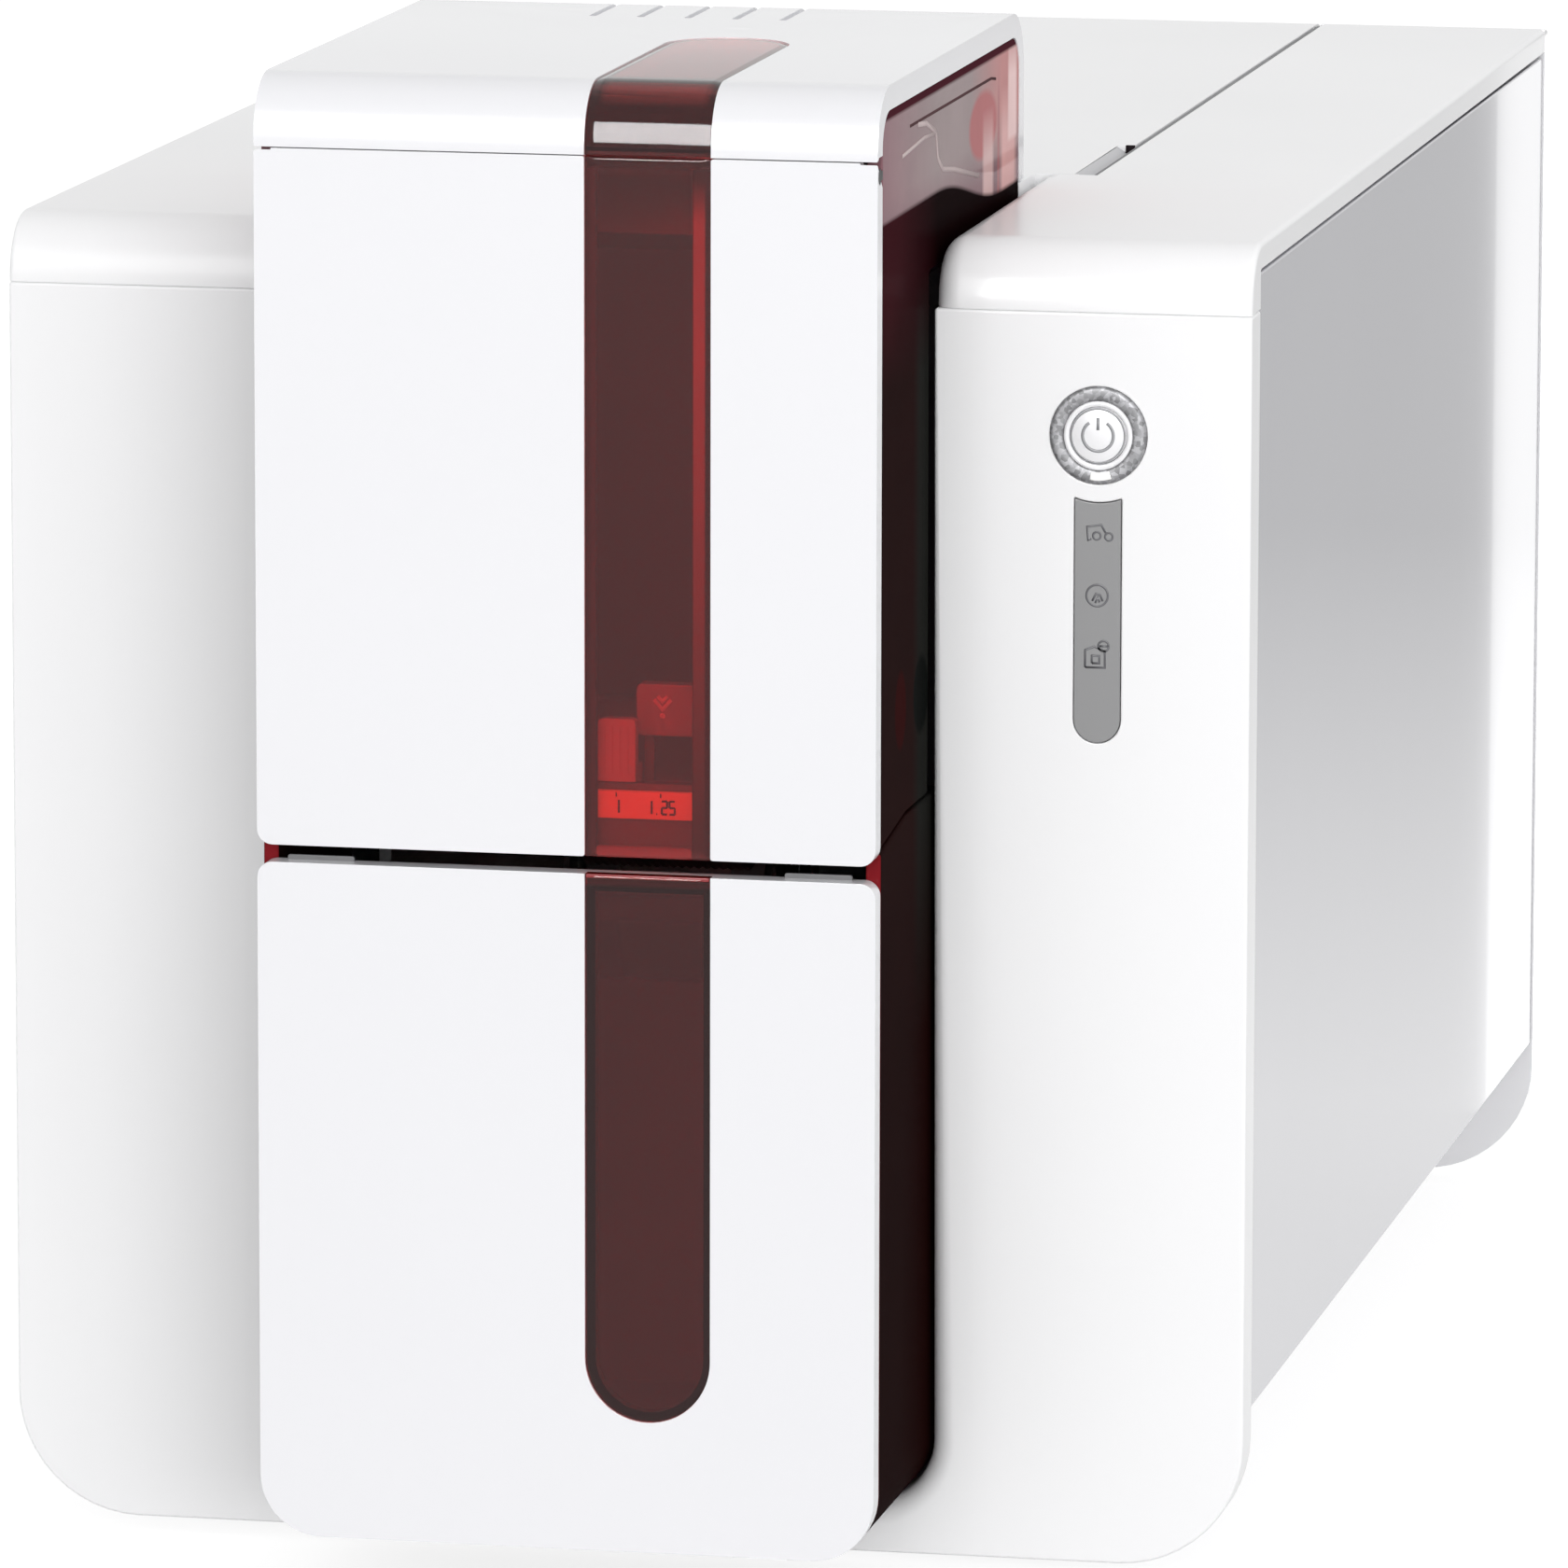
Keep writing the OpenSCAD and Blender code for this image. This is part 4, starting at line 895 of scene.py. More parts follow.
# ---- Cheeks ----
# A dark red clear plate closes each side of the upper hood, inside the band's rim. Light caught in
# it is painted on as a thin dark line and two pale folds near the top.
cheek_x = 50.2
cheek = rounded_line([(-186.05, 125.9), (-165, 128.4), (-146.8, 128.4), (-146.8, 213.2), (-69, 213.2),
                      (-69, 243), (-186.05, 243)], [0.5, 5, 0.5, 0.5, 0.5, 6, 6], arc=9)[0]
for name, side in sides:
    plate(name + "_cheek_plate", cheek, 2.5, facing_side(side, cheek_x), cheek_red, "lid", "shroud_red",
          name + "_cheek", edge=0.4)


def ridge(side, points, wide, proud):
    """A raised or sunk line on a cheek: a low flat bar of even width through its y, z points."""
    p = rounded_line(points, [0, *[2.5] * (len(points) - 2), 0], closed=False, arc=6)[0]
    step = np.gradient(p, axis=0)
    step = step / np.linalg.norm(step, axis=1, keepdims=True)
    off = 0.5 * wide * np.stack([-step[:, 1], step[:, 0]], 1)
    return cutter(np.r_[p - off, (p + off)[::-1]], 0.4, facing_side(side, cheek_x + proud))


cheek_line = moulding("cheek_line_dark", "#5A4446", 0.4, scuffing=0.0, IOR=1.0)
# Painted light: the pale folds stand for light caught in the clear plate.
painted_light_folds = moulding("cheek_ridge_pale", "#C9B9B9", 0.35, scuffing=0.0, IOR=1.0)
for name, side in sides:
    piece(name + "_cheek_line", ridge(side, [(-163.7, 238.5), (-94, 238.4), (-90, 237.9)], 0.45, 0.06),
          cheek_line, "lid", "shroud_red")
    folds = joined("folds", ridge(side, [(-157, 238.0), (-150, 237.4), (-141.5, 235), (-140.2, 230.6),
                                         (-136, 228.4), (-126, 227.2), (-104.7, 223.6)], 0.8, 0.08),
                   ridge(side, [(-170, 234.4), (-151.4, 235.3), (-142.5, 234.9)], 0.6, 0.07))
    piece(name + "_cheek_folds", folds, painted_light_folds, "lid", "shroud_red")

# ---- Lid ----
# The top behind and under the hood is one white moulding that swings up about pins at the
# rear; its rear edge curls down round the hinge, and short skirts stiffen its sides.


def lying(z0):
    """Slab coordinates as X, Y and height above z0."""
    return lambda u, v, w: (u, v, z0 + w)


curl = np.radians(np.linspace(90, -40, 18))
lid_front, lid_x, step_y = -146.6, 59.85, -54.8
lid_path = np.r_[[(lid_front, body_h)], np.c_[fascia_y + 7.5 * np.cos(curl), 210.6 + 7.5 * np.sin(curl)]]
lid_normal = np.r_[[(0, 1)], np.c_[np.cos(curl), np.sin(curl)]]
lid_run = lengths(lid_path)
step_u, cheek_u, end_u = step_y - lid_front, -68.9 - lid_front, lid_run[-1]
plan_of = [(0, 47.6), (0, -47.6), (cheek_u, -47.6), (cheek_u, -hood_x), (step_u, -hood_x), (step_u, -lid_x),
           (end_u, -lid_x), (end_u, lid_x), (step_u, lid_x), (step_u, hood_x), (cheek_u, hood_x),
           (cheek_u, 47.6)]
plan_of = rounded_line(plan_of, [0.5, 0.5, 0.1, 0.1, 0.5, 2, 0.5, 0.5, 2, 0.5, 0.1, 0.1], arc=7)[0]
lid = plate("lid_shell", plan_of, 2.5, bent(lid_path, lid_normal), white, "lid", "shell", "lid_panel",
            stations=lid_run[1:-1])
groove = rounded_line([(57.0, -54), (60.3, -56), (60.3, -12), (57.0, -14)], 0.3, arc=3)[0]
carve(lid, cutter(groove, 3, lambda u, v, w: (u, v, 215.9 + w + np.minimum(60 - u, 2.8) * 0.75)),
      cutter(rect(58.4, -14, 60.3, -12, 0.1, 3), 6, lying(214)))
# Painted shade: the black tape on the lid's part under the hood and in the pocket at the groove's end stands
# for the shade there.
painted(lid, tape, lambda x, y, z: (y < -69) & (abs(x) < 47.8) | (x > 58) & (abs(y + 13) < 1.1) & (z < 217.2))
# Painted shade: the groove's sloping facet is painted grey for the shade in it.
painted(lid, moulding("grip_painted_shade", "#C9C9CC", 0.4, scuffing=0.05),
        lambda x, y, z: (x > 57) & (abs(y + 35) < 21) & (z < 217.95))
rim(lid, 0.6)
for name, side in sides:
    plate(name + "_skirt", rect(step_y, 210.1, fascia_y, 216, 0.5), 2.5, facing_side(side, lid_x), white,
          "lid", "shell", edge=0.3)
# A grey strip fills the slit beside the lid. It is painted shade, standing for the shade in the slit.
plate("lid_slit_shade", rect(60.12, -56, 60.5, fascia_y - 1), 2, lambda u, v, w: (u, v, body_h - 0.25 - w),
      moulding("slit_painted_shade_grey", "#8A8A8C", 0.6, scuffing=0.05), "base", "rubber_dark")

# ---- Button and lamps ----
# A plated ring in the front frame holds the white power button, a plain moulding in a sleeve.
# The grey strip below it is one moulding that fills its slot in the frame.


def spun(profile, a, middle, start, order):
    """The points of a profile of (radius, depth) at each angle a round an axis: middle + radius *
    (cos a, sin a) in the first two places and start + depth in the third, then put in order."""
    r, d = np.array(profile, float).T
    first = middle[0] + np.outer(np.cos(a), r)
    second = middle[1] + np.outer(np.sin(a), r)
    co = np.stack([first, second, np.broadcast_to(start + d, first.shape)], 2)
    return co.reshape(-1, 3)[:, order] / 1000


def whole(turns):
    """The angles of a full turn."""
    return np.linspace(0, 2 * np.pi, turns, endpoint=False)


along_y = [0, 2, 1]


def lathe(name, profile, middle, axis_y, turns=72):
    """An open profile of radius and depth carried round an axis along Y through x, z."""
    m = len(profile)
    i, j = np.meshgrid(np.arange(turns), np.arange(m - 1), indexing="ij")
    start, end = i * m + j, ((i + 1) % turns) * m + j
    quads = np.stack([start, end, end + 1, start + 1], 2).reshape(-1, 4)
    return meshed(solid(spun(profile, whole(turns), middle, axis_y, along_y), quads.tolist()), name, 1e-6)


def sparkle(name):
    """Satin chrome plate over a knurled mould: fine cells of darker and brighter metal."""
    made = moulding(name, "#A2A2A5", 0.45, clouding=0.6, scuffing=0.0, grain=900.0, bump=0.2, Metallic=0.2)
    tree = made.node_tree
    cells = place(tree, "TexVoronoi", {"Vector": point_of(tree), "Scale": 1500.0})
    grey = place(tree, "RGBToBW", {0: cells.outputs["Color"]})
    overlay(made, 1.0, ramp(tree, grey.outputs[0], 0.2, 0.8, 0.55, 1.3), "MULTIPLY")
    return made


at_button = (button_x, button_z)
chrome = sparkle("knurled_chrome")
ring = [(5.6, 2.6), (5.6, -0.1), (5.7, -0.3), (6.0, -0.4), (7.3, -0.4), (7.75, -0.3), (7.93, 0.0),
        (7.93, 2.6), (5.6, 2.6)]
sleeve = [(4.7, 2.6), (4.7, -0.2), (4.8, -0.38), (5.4, -0.38), (5.58, -0.25), (5.58, 2.6), (4.7, 2.6)]
cap = [(0, -0.3), (4.3, -0.3), (4.5, -0.2), (4.6, 0.1), (4.6, 3.5), (2, 3.5), (2, 4.7), (0, 4.7)]
button_white = moulding("button_white_plastic", "#F8F8FA", 0.3)
for name, profile, *given in (
        ("button_ring_chrome", ring, chrome, "base", "chrome", "button_ring"),
        ("button_sleeve", sleeve, button_white, "base", "button_white"),
        ("power_cap", cap, button_white, "power_button", "button_white", "power_button")):
    piece(name, lathe(name, profile, at_button, face_y), *given)
plate("lamp_strip", lamp_slot(-0.02), 5, facing_front(face_y - 0.15),
      moulding("lamp_strip_grey", "#888889", 0.35), "base", "lamp_grey", "indicator_strip", edge=0.15)

# ---- Button: power mark and lit segment ----
# The cap's circle and power sign are printed in grey. A short clear segment at the bottom of the
# ring is lit by a lamp behind it.
print_grey = moulding("printed_grey", "#9C9DA0", 0.45, clouding=0.95, scuffing=0.0)


def tube_mesh(co, rings, sides, closed=False, name="part"):
    """Joins rings of points into a tube, capped at its ends unless it is closed."""
    last = rings if closed else rings - 1
    i, j = np.meshgrid(np.arange(last), np.arange(sides), indexing="ij")
    start, end = i * sides + j, i * sides + (j + 1) % sides
    ahead = sides * np.where(i == rings - 1, 1 - rings, 1)
    quads = np.stack([start, end, end + ahead, start + ahead], 2).reshape(-1, 4).tolist()
    if not closed:
        quads += [list(range(sides)), list(range(rings * sides - 1, (rings - 1) * sides - 1, -1))]
    return meshed(solid(co, quads), name, 1e-7)


def arc_band(middle, r, wide, start, end, y, thick=0.06, steps=48):
    """A flat band along an arc: a rectangle of width and thickness carried round the middle from
    one angle to another, in degrees from +X towards +Z."""
    corners = np.c_[r + np.array([-0.5, 0.5, 0.5, -0.5]) * wide, np.array([0, 0, 1, 1]) * thick]
    co = spun(corners, np.radians(np.linspace(start, end, steps)), middle, y, along_y)
    return tube_mesh(co, steps, 4, abs(end - start) >= 360)


def stroke(points, wide, y, thick=0.06):
    """A flat line of even width through x, z points, mitred at its corners."""
    p = np.array(points, float)
    step = np.diff(p, axis=0)
    step = step / np.linalg.norm(step, axis=1, keepdims=True)
    along = np.r_[step[:1], step[:-1] + step[1:], step[-1:]]
    along = along / np.linalg.norm(along, axis=1, keepdims=True)
    side = np.stack([-along[:, 1], along[:, 0]], 1)
    ahead = np.r_[step, step[-1:]]
    turned = np.stack([-ahead[:, 1], ahead[:, 0]], 1)
    reach = 0.5 * wide / np.maximum((side * turned).sum(1), 0.5)
    near, far = p - side * reach[:, None], p + side * reach[:, None]
    ring = [np.c_[line[:, 0], np.full(len(p), depth), line[:, 1]]
            for line, depth in ((near, y), (far, y), (far, y + thick), (near, y + thick))]
    return tube_mesh(np.stack(ring, 1).reshape(-1, 3) / 1000, len(p), 4)


mark_y = face_y - 0.34
mark = joined("power_mark", arc_band(at_button, 2.5, 0.5, 125, 415, mark_y),
              stroke([(button_x, button_z + 0.9), (button_x, button_z + 2.9)], 0.5, mark_y),
              arc_band(at_button, 4.35, 0.3, 0, 360, mark_y, steps=72))
piece("power_mark", mark, print_grey, "power_button", "button_white")
lit = moulding("lit_lens", "#F4F4F2", 0.2, grain=900.0, bump=0.3, Emission_Strength=0.35,
               Emission_Color=(1, 1, 0.97, 1))
ring_lens = spun([(5.9, -0.1), (6.0, -0.55), (6.6, -0.66), (7.2, -0.55), (7.3, -0.1)],
                 np.radians(np.linspace(-100, -72, 14)), at_button, face_y, along_y)
piece("ring_lens", tube_mesh(ring_lens, 14, 5, name="ring_lens"), lit, "base", "lamp_grey")

# ---- Indicator signs ----
# Three plain line signs are printed on the lamp strip: ribbon, head and card hopper. Each is
# a thin layer of dark grey ink.
sign_y, sign_wide, sign_thick = face_y - 0.19, 0.34, 0.05
sign_dark = moulding("sign_ink", "#5E5E62", 0.5, scuffing=0.0)


def sign(name, z, *lines):
    """A printed sign about the strip's middle at z, from lines of x, z points and circles of
    x, z and radius."""
    made = []
    for line in lines:
        if isinstance(line[0], tuple):
            points = [(button_x + x, z + dz) for x, dz in line]
            made.append(stroke(points, sign_wide, sign_y, sign_thick))
        else:
            x, dz, r = line
            made.append(arc_band((button_x + x, z + dz), r, sign_wide, 0, 360, sign_y, sign_thick, 28))
    piece(name, joined(name, *made), sign_dark, "base", "lamp_grey")


sign("sign_ribbon", 171.7, (-0.1, -0.5, 0.62), (1.85, -0.6, 0.62),
     ((-1.0, -1.0), (-1.5, -1.2), (-1.7, 0.9), (0.6, 1.3), (1.3, 0.0)))
sign("sign_head", 161.5, (0, 0, 1.75), ((-0.8, -0.9), (-0.2, 0.3), (0.5, 0.1), (0.9, -0.9)),
     ((-0.3, -1.2), (0.1, -0.3), (0.4, -1.1)))
sign("sign_hopper", 151.7, ((-1.9, -1.9), (-1.9, 0.9), (-0.4, 1.5), (1.3, 0.8), (1.3, -1.9), (-1.9, -1.9)),
     ((-0.8, -1.2), (-0.8, 0.0), (0.4, 0.0), (0.4, -1.2), (-0.8, -1.2)), (1.1, 1.6, 0.85),
     ((0.4, 1.6), (1.8, 1.6)))

# ---- Tray, feet and bins ----
# The base tray is a plain satin moulding on four rubber feet. The two card bins are dark
# mouldings with a spark-eroded texture.


def dress(material, *names):
    """Gives kept CAD parts their material."""
    for name in names:
        slots = node[name].data.materials
        slots.clear()
        slots.append(material)


dress(moulding("tray_satin_plastic", "#D6D6DB", 0.5, clouding=0.96, scuffing=0.1, grain=900.0, bump=0.15),
      "base_tray")
dress(moulding("foot_rubber", "#1F1F21", 0.8, clouding=0.8, scuffing=0.15, grain=2200.0, bump=0.4),
      "foot_front_left", "foot_front_right", "foot_rear_left", "foot_rear_right")
bin_dark = moulding("bin_dark_plastic", "#6E6668", 0.6, clouding=0.94, scuffing=0.05, grain=1800.0, bump=0.03)
dress(bin_dark, "output_bin", "feeder_tray")
dress(moulding("hinge_black_plastic", "#131315", 0.45, clouding=0.9, scuffing=0.1),
      "door_hinge_left", "door_hinge_right", "output_hinge_left", "output_hinge_right")

# ---- Card gauge: scale, lever and weight ----
# A red scale with thickness marks is stuck to the feeder's lip. The light lever on it sets the
# slot for the card's thickness, and a painted steel weight presses the stack down.
scale_y, scale_low = -185.4, 129.4
# The scale glows faintly, though no lamp is in it. This is painted light, so that it shows bright behind the
# red window.
scale_red = moulding("scale_red_painted_glow", "#FF946C", 0.3, clouding=0.8, scuffing=0.05, Emission_Strength=0.3,
                     Emission_Color=linear("#FF946C"))
plate("gauge_scale", rect(-19.2, scale_low, 23.6, scale_low + 4.4, 0.5, 5), 1.4, facing_front(scale_y),
      scale_red, "base", "scale_red", "card_scale", edge=0.15)
mark_red = moulding("scale_mark", "#4A0806", 0.5, scuffing=0.0)
digits = {"0": "abcdef", "1": "bc", "2": "abged", "5": "afgcd", "7": "abc", ".": "p"}
bars = {"a": ((0, 2), (1, 2)), "b": ((1, 2), (1, 1)), "c": ((1, 1), (1, 0)), "d": ((0, 0), (1, 0)),
        "e": ((0, 0), (0, 1)), "f": ((0, 1), (0, 2)), "g": ((0, 1), (1, 1)), "p": ((0.4, 0), (0.6, 0))}
ink_y = scale_y - 0.05
marks = []
for step, word in enumerate((".25", ".5", ".75", "1", "1.25")):
    middle = 7.4 + (step - 3) * 7.2
    marks.append(stroke([(middle, scale_low + 3.5), (middle, scale_low + 4.2)], 0.22, ink_y))
    for place_in_word, digit in enumerate(word):
        left = middle + (place_in_word - len(word) / 2) * 1.25 + 0.2
        for bar in digits[digit]:
            ends = [(left + 0.85 * x, scale_low + 0.9 + 1.05 * z) for x, z in bars[bar]]
            marks.append(stroke(ends, 0.34, ink_y))
piece("gauge_marks", joined("gauge_marks", *marks), mark_red, "base", "scale_red")

lever_y, lever_x = -185.2, 4.35
lever = plate("lever_grip", rect(lever_x, 135.3, 10.45, 145.4, 0.8, 6), 2.2, facing_front(lever_y),
              moulding("lever_light_plastic", "#C6BDB9", 0.35, scuffing=0.1), "gauge_lever", "lever_light",
              "gauge_lever")
hook = rounded_line([(lever_y, 135.3), (-181.2, 135.3), (-181.2, 128.8), (-180.2, 128.8), (-180.2, 137.9),
                     (lever_y, 137.9)], 0.2, arc=3)[0]
carve(lever, cutter(hook, 6.1, from_left(lever_x)), how="UNION")
carve(lever, *[cutter(rect(x, 136.5, x + 0.45, 144.2, 0.2, 3), 1, facing_front(lever_y - 0.75))
               for x in (5.5, 6.75, 8.0, 9.25)])
rim(lever, 0.2, 60)

# The weight is a shallow tray of painted steel. A grip plate with a press-down sign stands on its
# front edge, on two narrow legs.
weight_paint = moulding("weight_grey_paint", "#A8A4A6", 0.45, clouding=0.9, scuffing=0.12, grain=1200.0,
                        bump=0.2)
weight = plate("card_weight_plate", rect(-26.8, -178, 26.8, -95.3, 3, 7), 5.7, lying(128.3), weight_paint,
               "card_weight", "weight_grey", "card_weight")
carve(weight, cutter(rect(-22.8, -171, 22.8, -99.8, 2, 6), 6, lying(131)))
rim(weight, 0.4, 50)
plate("weight_grip", rect(9, 141.6, 22, 150, 1.0, 6), 3, facing_front(-178), weight_paint, "card_weight",
      "weight_grey", edge=0.3)
for name, x in (("left", 10), ("right", 19.4)):
    plate("weight_leg_" + name, rect(x, 133.6, x + 1.6, 142, 0.2, 3), 1.2, facing_front(-176.4), bin_dark,
          "card_weight", "weight_grey", edge=0.15)
press_y = -178.06
press = joined("press_down_sign", stroke([(11.9, 147.5), (13.3, 145.9), (14.7, 147.5)], 0.6, press_y),
               stroke([(12.5, 148.1), (13.3, 147.2), (14.1, 148.1)], 0.55, press_y),
               arc_band((13.3, 144.9), 0.25, 0.4, 0, 360, press_y, steps=16))
piece("press_down_sign", press, moulding("press_sign", "#F2D6D2", 0.5, scuffing=0.0), "card_weight",
      "weight_grey")

# ---- Frame plates, shafts and rollers ----
# Two pierced steel plates stand on the tray and carry the shafts. The rubber rollers are
# bonded on steel shafts, and the tacky cleaning roller is red.


def steel_finish(group, given):
    """Long fine streaks, stretched as Along says, and broad stains."""
    where = point_of(group)
    scaled = place(group, "VectorMath", {0: where, 1: given["Along"]}, operation="MULTIPLY")
    streak = noise(group, scaled.outputs[0], 1.0)
    tint = mixed(group, 1.0, given["Colour"], ramp(group, streak, 0.3, 0.7, 0.85, 1.0), "MULTIPLY")
    stain = ramp(group, noise(group, where, 40.0, 3.0), 0.0, 1.0, -0.08, 0.08)
    return tint, math(group, "ADD", given["Roughness"], stain), streak


brushed_steel = surface_group("brushed_steel", {"Colour": "Color", "Along": "Vector", "Roughness": "Float"},
                              steel_finish)


def metal(name, code, roughness=0.3, along=(1500, 40, 1500)):
    """A brushed or turned metal, with its streaks along the axis of the smallest number."""
    values = {"Colour": linear(code), "Along": along, "Roughness": roughness}
    return from_group(brushed_steel, name, values, 0.15, {"Metallic": 1.0})


dress(metal("plate_steel", "#B9BBBF", 0.35), "left_plate", "right_plate")
turned_steel = metal("turned_steel", "#C4C6CA", 0.25, (40, 1500, 1500))
dress(turned_steel, "platen_shaft", "cleaning_shaft", "pick_shaft", "motor_pulley", "lid_pin_left",
      "lid_pin_right")
roller_rubber = moulding("roller_rubber", "#262629", 0.65, clouding=0.85, scuffing=0.1, grain=2600.0,
                         bump=0.3)
tacky_red = moulding("cleaning_roller_red", "#A8413C", 0.2, clouding=0.9, scuffing=0.05, grain=300.0,
                     bump=0.05, Coat_Weight=0.4)


def grooved(half, groove, pitch, r=10):
    """A roller's half-section of this half length: radius r, with V grooves of a depth at each
    pitch."""
    x = np.arange(1 - half, half - 0.99, pitch / 2)
    rim_r = np.where(np.arange(len(x)) % 2 == 0, r, r - groove)
    return [(7.9, -half), (r - 0.5, -half), (r, 0.5 - half), *zip(rim_r, x), (r, half - 0.5),
            (r - 0.5, half), (7.9, half), (7.9, -half)]


along_x = [2, 0, 1]


def across(name, profile, y, z, turns=56):
    """A profile of radius and X carried round an axis along X through y, z."""
    return tube_mesh(spun(profile, whole(turns), (y, z), 0, along_x), turns, len(profile), True, name)


for name, body, material, slot, y, half, groove, pitch in (
        ("platen_roller", "platen", roller_rubber, "rubber_dark", -2.8, 27.6, 0.0, 20),
        ("cleaning_roller", "cleaner", tacky_red, "cleaner_red", -74.8, 27.6, 0.0, 20),
        ("pick_roller", "picker", roller_rubber, "rubber_dark", -110.8, 14, 0.35, 1.4)):
    piece(name + "_sleeve", across(name, grooved(half, groove, pitch), y, 118.2), material, body, slot, name)

# ---- Motor, belts and ribbon ----
# A small steel-cased motor drives the rollers by toothed belts. The ribbon runs from its supply
# core under the print head to the take-up core.
dress(moulding("motor_grey_paint", "#85878B", 0.4, clouding=0.9, scuffing=0.12, grain=700.0, bump=0.1,
               Metallic=0.6), "drive_motor")
dress(moulding("belt_rubber", "#1B1B1D", 0.75, clouding=0.85, scuffing=0.05, grain=2400.0, bump=0.3),
      "motor_belt", "platen_belt", "pick_belt")
motor_y, motor_z, spool_z = 21.2, 80, 165
for end, x in (("rear", -8), ("front", -43)):
    cap = [(16.2, x - 0.4), (17.1, x), (17.1, x + 3), (0, x + 3), (2, x + 3), (2, x - 0.4)]
    piece("motor_cap_" + end, across("motor_cap", cap, motor_y, motor_z), turned_steel, "base", "motor_grey")
label = [(17.02, -34), (17.12, -33.8), (17.12, -14.2), (17.02, -14)]
piece("motor_band", across("motor_band", label, motor_y, motor_z),
      moulding("motor_band_silver", "#C9CACC", 0.35, scuffing=0.1), "base", "motor_grey")

film_black = moulding("ribbon_film", "#17161A", 0.28, clouding=0.8, scuffing=0.05, grain=500.0, bump=0.02,
                      Coat_Weight=0.3)
core_white = moulding("ribbon_core_white", "#E4E4E6", 0.4)
half_spool = [(2.2, 46.5), (4.2, 46.5), (4.2, 43.8), (16.6, 43.8), (17, 43.4), (17, 42.4), (16.6, 42),
              (7.5, 42)]
spool = [*half_spool, *[(r, -x) for r, x in half_spool[::-1]]]
for name, y, wound_r in (("supply", 53.2, 14.5), ("takeup", -60.8, 9.5)):
    body = "ribbon_" + name
    piece(body + "_spool", across(body, spool, y, spool_z), core_white, body, "ribbon_black", body)
    film = [(wound_r - 0.06 * (i % 2), x) for i, x in enumerate(np.linspace(-41.5, 41.5, 9))]
    piece(body + "_film", across(body, [(7.4, -41.5), *film, (7.4, 41.5)], y, spool_z, 64), film_black, body,
          "ribbon_black")
web_path, web_normal = rounded_line([(50.5, 150.8), (6.5, 128.75), (-13, 128.75), (-57.5, 156)], [0, 8, 8, 0],
                                    closed=False, arc=7)
web_run = lengths(web_path)
plate("ribbon_web", rect(0, -41.4, web_run[-1], 41.4), 0.1, bent(web_path, web_normal), film_black, "base",
      "ribbon_black", stations=web_run[1:-1])

# ---- Print head ----
# The head hangs under the lid on a folded steel bracket: a glazed ceramic bar with a ribbed
# aluminium heat sink behind it.
dress(metal("bracket_steel", "#AFB1B5", 0.4, (1500, 1500, 40)), "head_bracket")
dress(moulding("head_ceramic", "#6B615A", 0.15, clouding=0.9, scuffing=0.03, grain=600.0, bump=0.03,
               Coat_Weight=0.5), "print_head")
dress(metal("heatsink_aluminium", "#B4B6BA", 0.32, (40, 1500, 1500)), "head_heatsink")

# ---- Boards ----
# The main board lies on rails at the rear and carries the sockets. It is green lacquered glass
# cloth with fine tracks, and parts soldered on it.


def tracks(tree, where, scale):
    """A net of thin white lines on black."""
    black = (0, 0, 0, 1)
    return place(tree, "TexBrick", {"Vector": where, "Color1": black, "Color2": black, "Mortar": (1, 1, 1, 1),
                                    "Scale": scale, "Mortar Size": 0.02}).outputs["Color"]


def lacquered_board(name):
    """Green lacquer over copper tracks: a net of thin paler lines and scattered bright pads."""
    made = moulding(name, "#1E5B33", 0.3, clouding=0.9, scuffing=0.05, grain=700.0, bump=0.05,
                    Coat_Weight=0.3)
    tree = made.node_tree
    where = point_of(tree)
    turned = place(tree, "Mapping", {"Vector": where, "Rotation": (0.0, 0.0, 0.785)}).outputs[0]
    here = ramp(tree, noise(tree, where, 50.0), 0.48, 0.52)
    overlay(made, mixed(tree, here, tracks(tree, where, 90.0), tracks(tree, turned, 60.0)), "#3F8A55")
    dots = place(tree, "TexVoronoi", {"Vector": where, "Scale": 260.0})
    overlay(made, ramp(tree, dots.outputs["Distance"], 0.16, 0.12), "#C9B98A")
    return made


dress(lacquered_board("board_lacquer"), "main_board", "control_board")
chip_black = moulding("chip_black", "#1C1C1E", 0.5, clouding=0.9, scuffing=0.05)
tin = metal("tinned_leads", "#C9CACC", 0.3, (900, 900, 900))
can_blue = moulding("capacitor_sleeve", "#22303F", 0.35, scuffing=0.05)
board_top, along_z = 15.6, [0, 1, 2]


def block(x0, y0, z0, x1, y1, z1, r=0.3):
    """A block between two corners, with its upright edges rounded."""
    return cutter(rect(x0, y0, x1, y1, r, 3), z1 - z0, lying(z0))


def cans(name, profile):
    """A profile of radius and height over the board, stood upright at each capacitor's place."""
    return joined(name, *[tube_mesh(spun(profile, whole(32), at, board_top, along_z), 32, len(profile), True)
                          for at in ((-62, 150), (-52, 150), (-62, 138), (60, 150))])


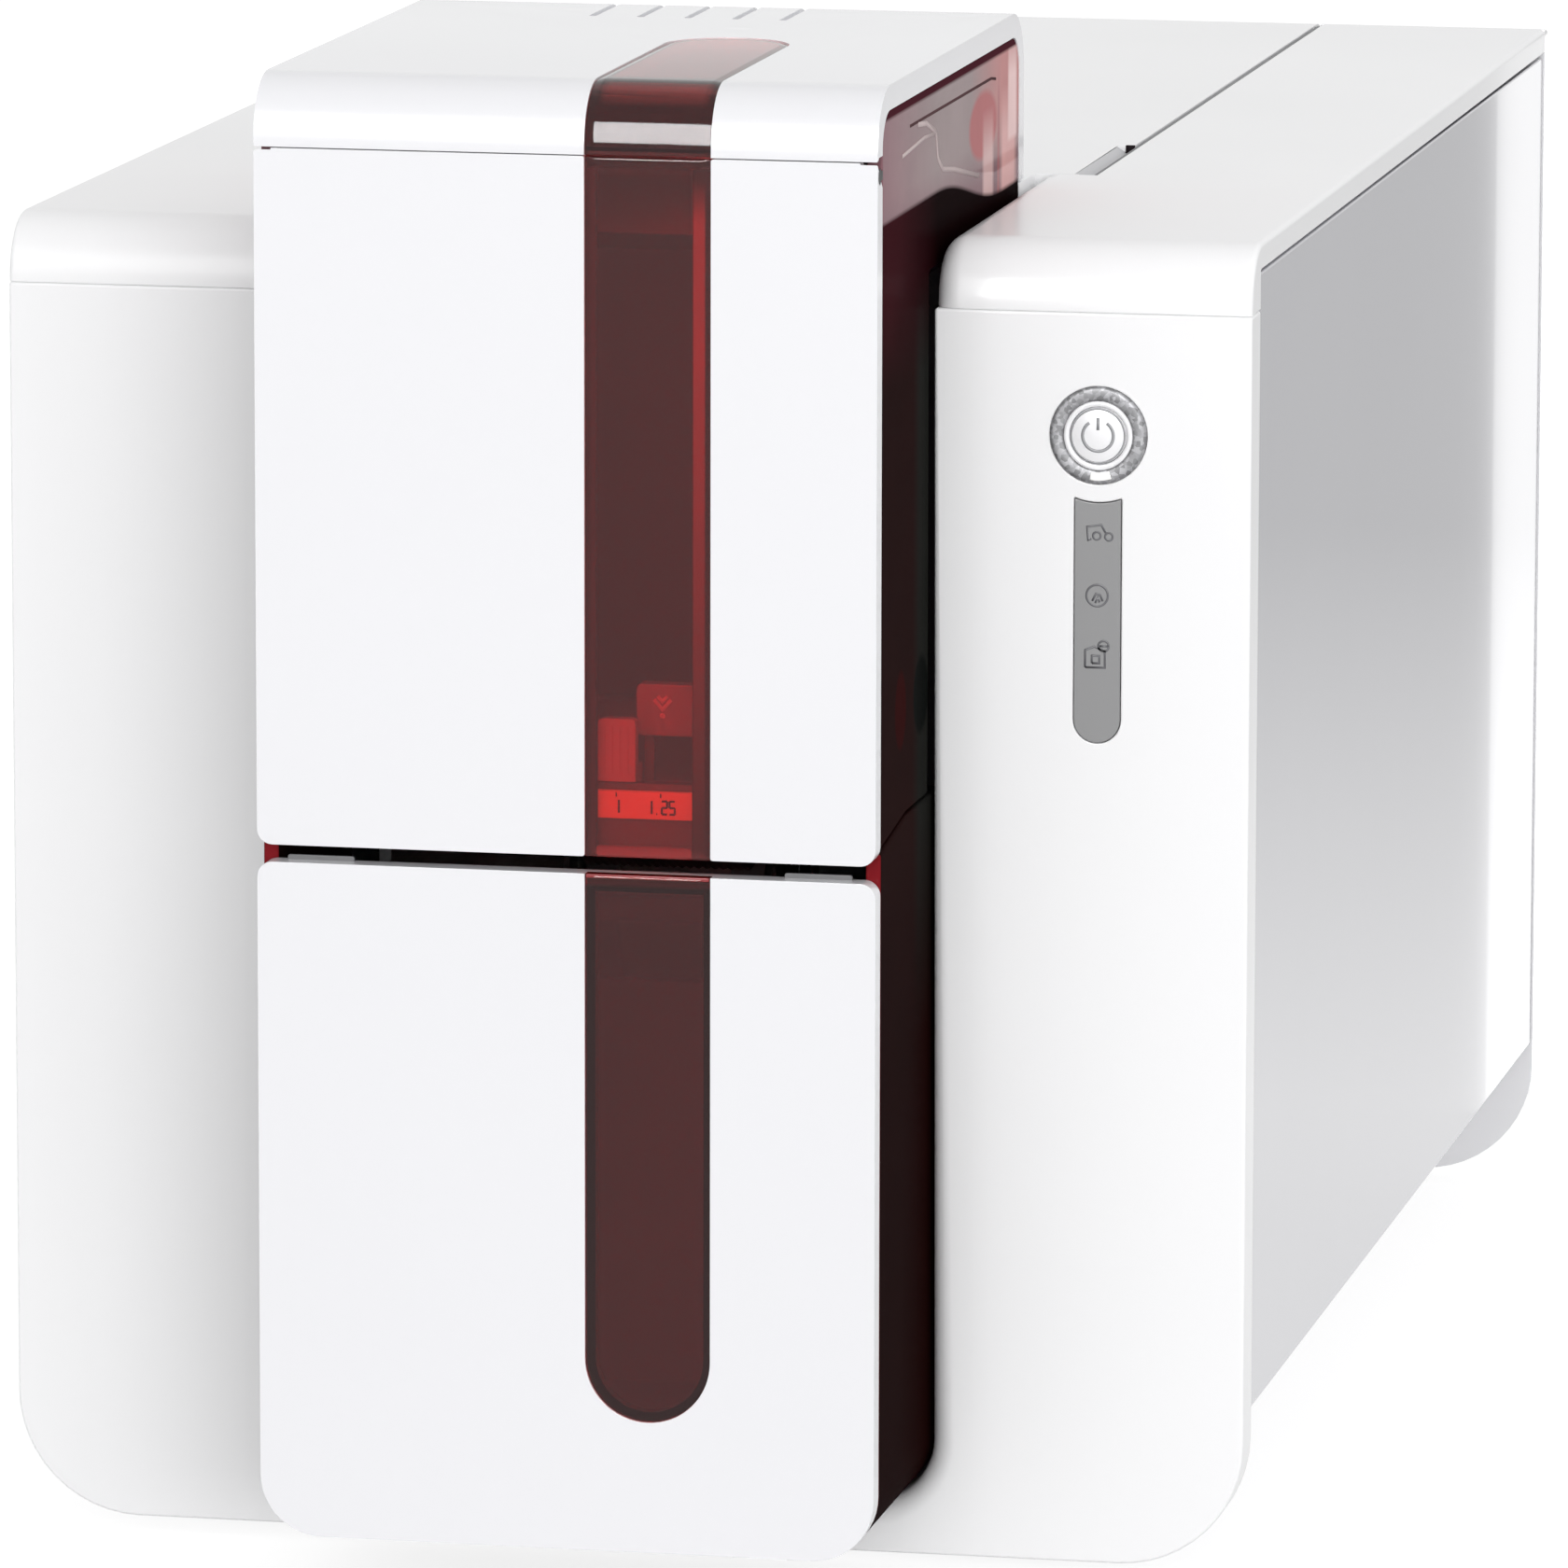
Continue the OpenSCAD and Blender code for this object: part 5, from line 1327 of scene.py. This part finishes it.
piece("board_capacitors", cans("board_capacitors", [(0.1, 0.1), (4, 0.1), (4, 1.2), (3.7, 1.5), (4, 1.8),
                                                    (4, 8.6), (3.6, 9), (0.1, 9)]), can_blue, "base", "board")
piece("capacitor_tops", cans("capacitor_tops", [(0.1, 9.0), (3.1, 9.0), (3.1, 9.08), (0.1, 9.08)]), tin,
      "base", "board")
chips, leads = [], []
lead_pitch, pin_pitch = 1.4, 2.0
for x, y, wide, deep in ((-5, 140, 14, 14), (20, 128, 10, 7), (-45, 112, 12, 8), (48, 108, 9, 9),
                         (62, 120, 6, 12)):
    chips.append(block(x, y, board_top + 0.1, x + wide, y + deep, board_top + 2.0))
    for k in range(int(wide / lead_pitch)):
        for lead_y in (y - 1.0, y + deep - 0.2):
            leads.append(block(x + 0.7 + lead_pitch * k, lead_y, board_top, x + 1.2 + lead_pitch * k,
                               lead_y + 1.2, board_top + 0.5, 0.05))
for k in range(12):
    x = -14 + pin_pitch * k
    leads.append(block(x, 100, board_top, x + 0.6, 100.6, board_top + 7, 0.05))
chips.append(block(-15, 99, board_top, 10, 101.6, board_top + 2.4))
chips.append(block(30, 160, board_top, 50, 166, board_top + 6))
piece("board_chips", joined("board_chips", *chips), chip_black, "base", "board")
piece("board_leads", joined("board_leads", *leads), tin, "base", "board")

# ---- Sockets ----
# The power socket is a black moulding with a centre pin. The data and network sockets are
# folded tinned steel shells with black or white inserts and gilt contacts.
dress(moulding("socket_black_plastic", "#161618", 0.45, clouding=0.9, scuffing=0.1), "power_socket")
dress(metal("socket_shell", "#BDBFC3", 0.33, (1500, 40, 1500)), "usb_socket", "network_socket")
pin = [(0.02, 0), (0.7, 0), (0.95, 0.5), (0.95, 9), (0.02, 9)]
piece("power_pin", lathe("power_pin", pin, (-60, 20.9), 179.4), tin, "base", "socket_metal")
piece("usb_tongue", block(-35.2, 179.2, 19.6, -28.8, 189, 22.2), core_white, "base", "socket_metal")
strips = [block(-34.4 + 1.55 * k, 180.5, 22.16, -33.4 + 1.55 * k, 188.6, 22.3, 0.05) for k in range(4)]
strips += [block(-4 + 1.02 * k, 179, 24.6, -3.5 + 1.02 * k, 188.5, 24.9, 0.05) for k in range(8)]
piece("socket_contacts", joined("socket_contacts", *strips),
      metal("gilt_contacts", "#D9B25C", 0.25, (900, 900, 900)), "base", "socket_metal")

# ---- Screws ----
# Four steel pan-head screws hold the rear panel. Their heads are plain domes, with no drive cut
# in them.
dome = [(0.9, -0.2), *[(r, 1.15 - 0.12 * r * r) for r in np.linspace(0, 3.0, 8)[3:]], (3.0, -0.35)]
screws = [lathe("screw", dome, (x, z), rear_y - 0.35, 28) for x in (-92, 92) for z in (38, 196)]
piece("rear_screws", joined("rear_screws", *screws), turned_steel, "base", "steel")
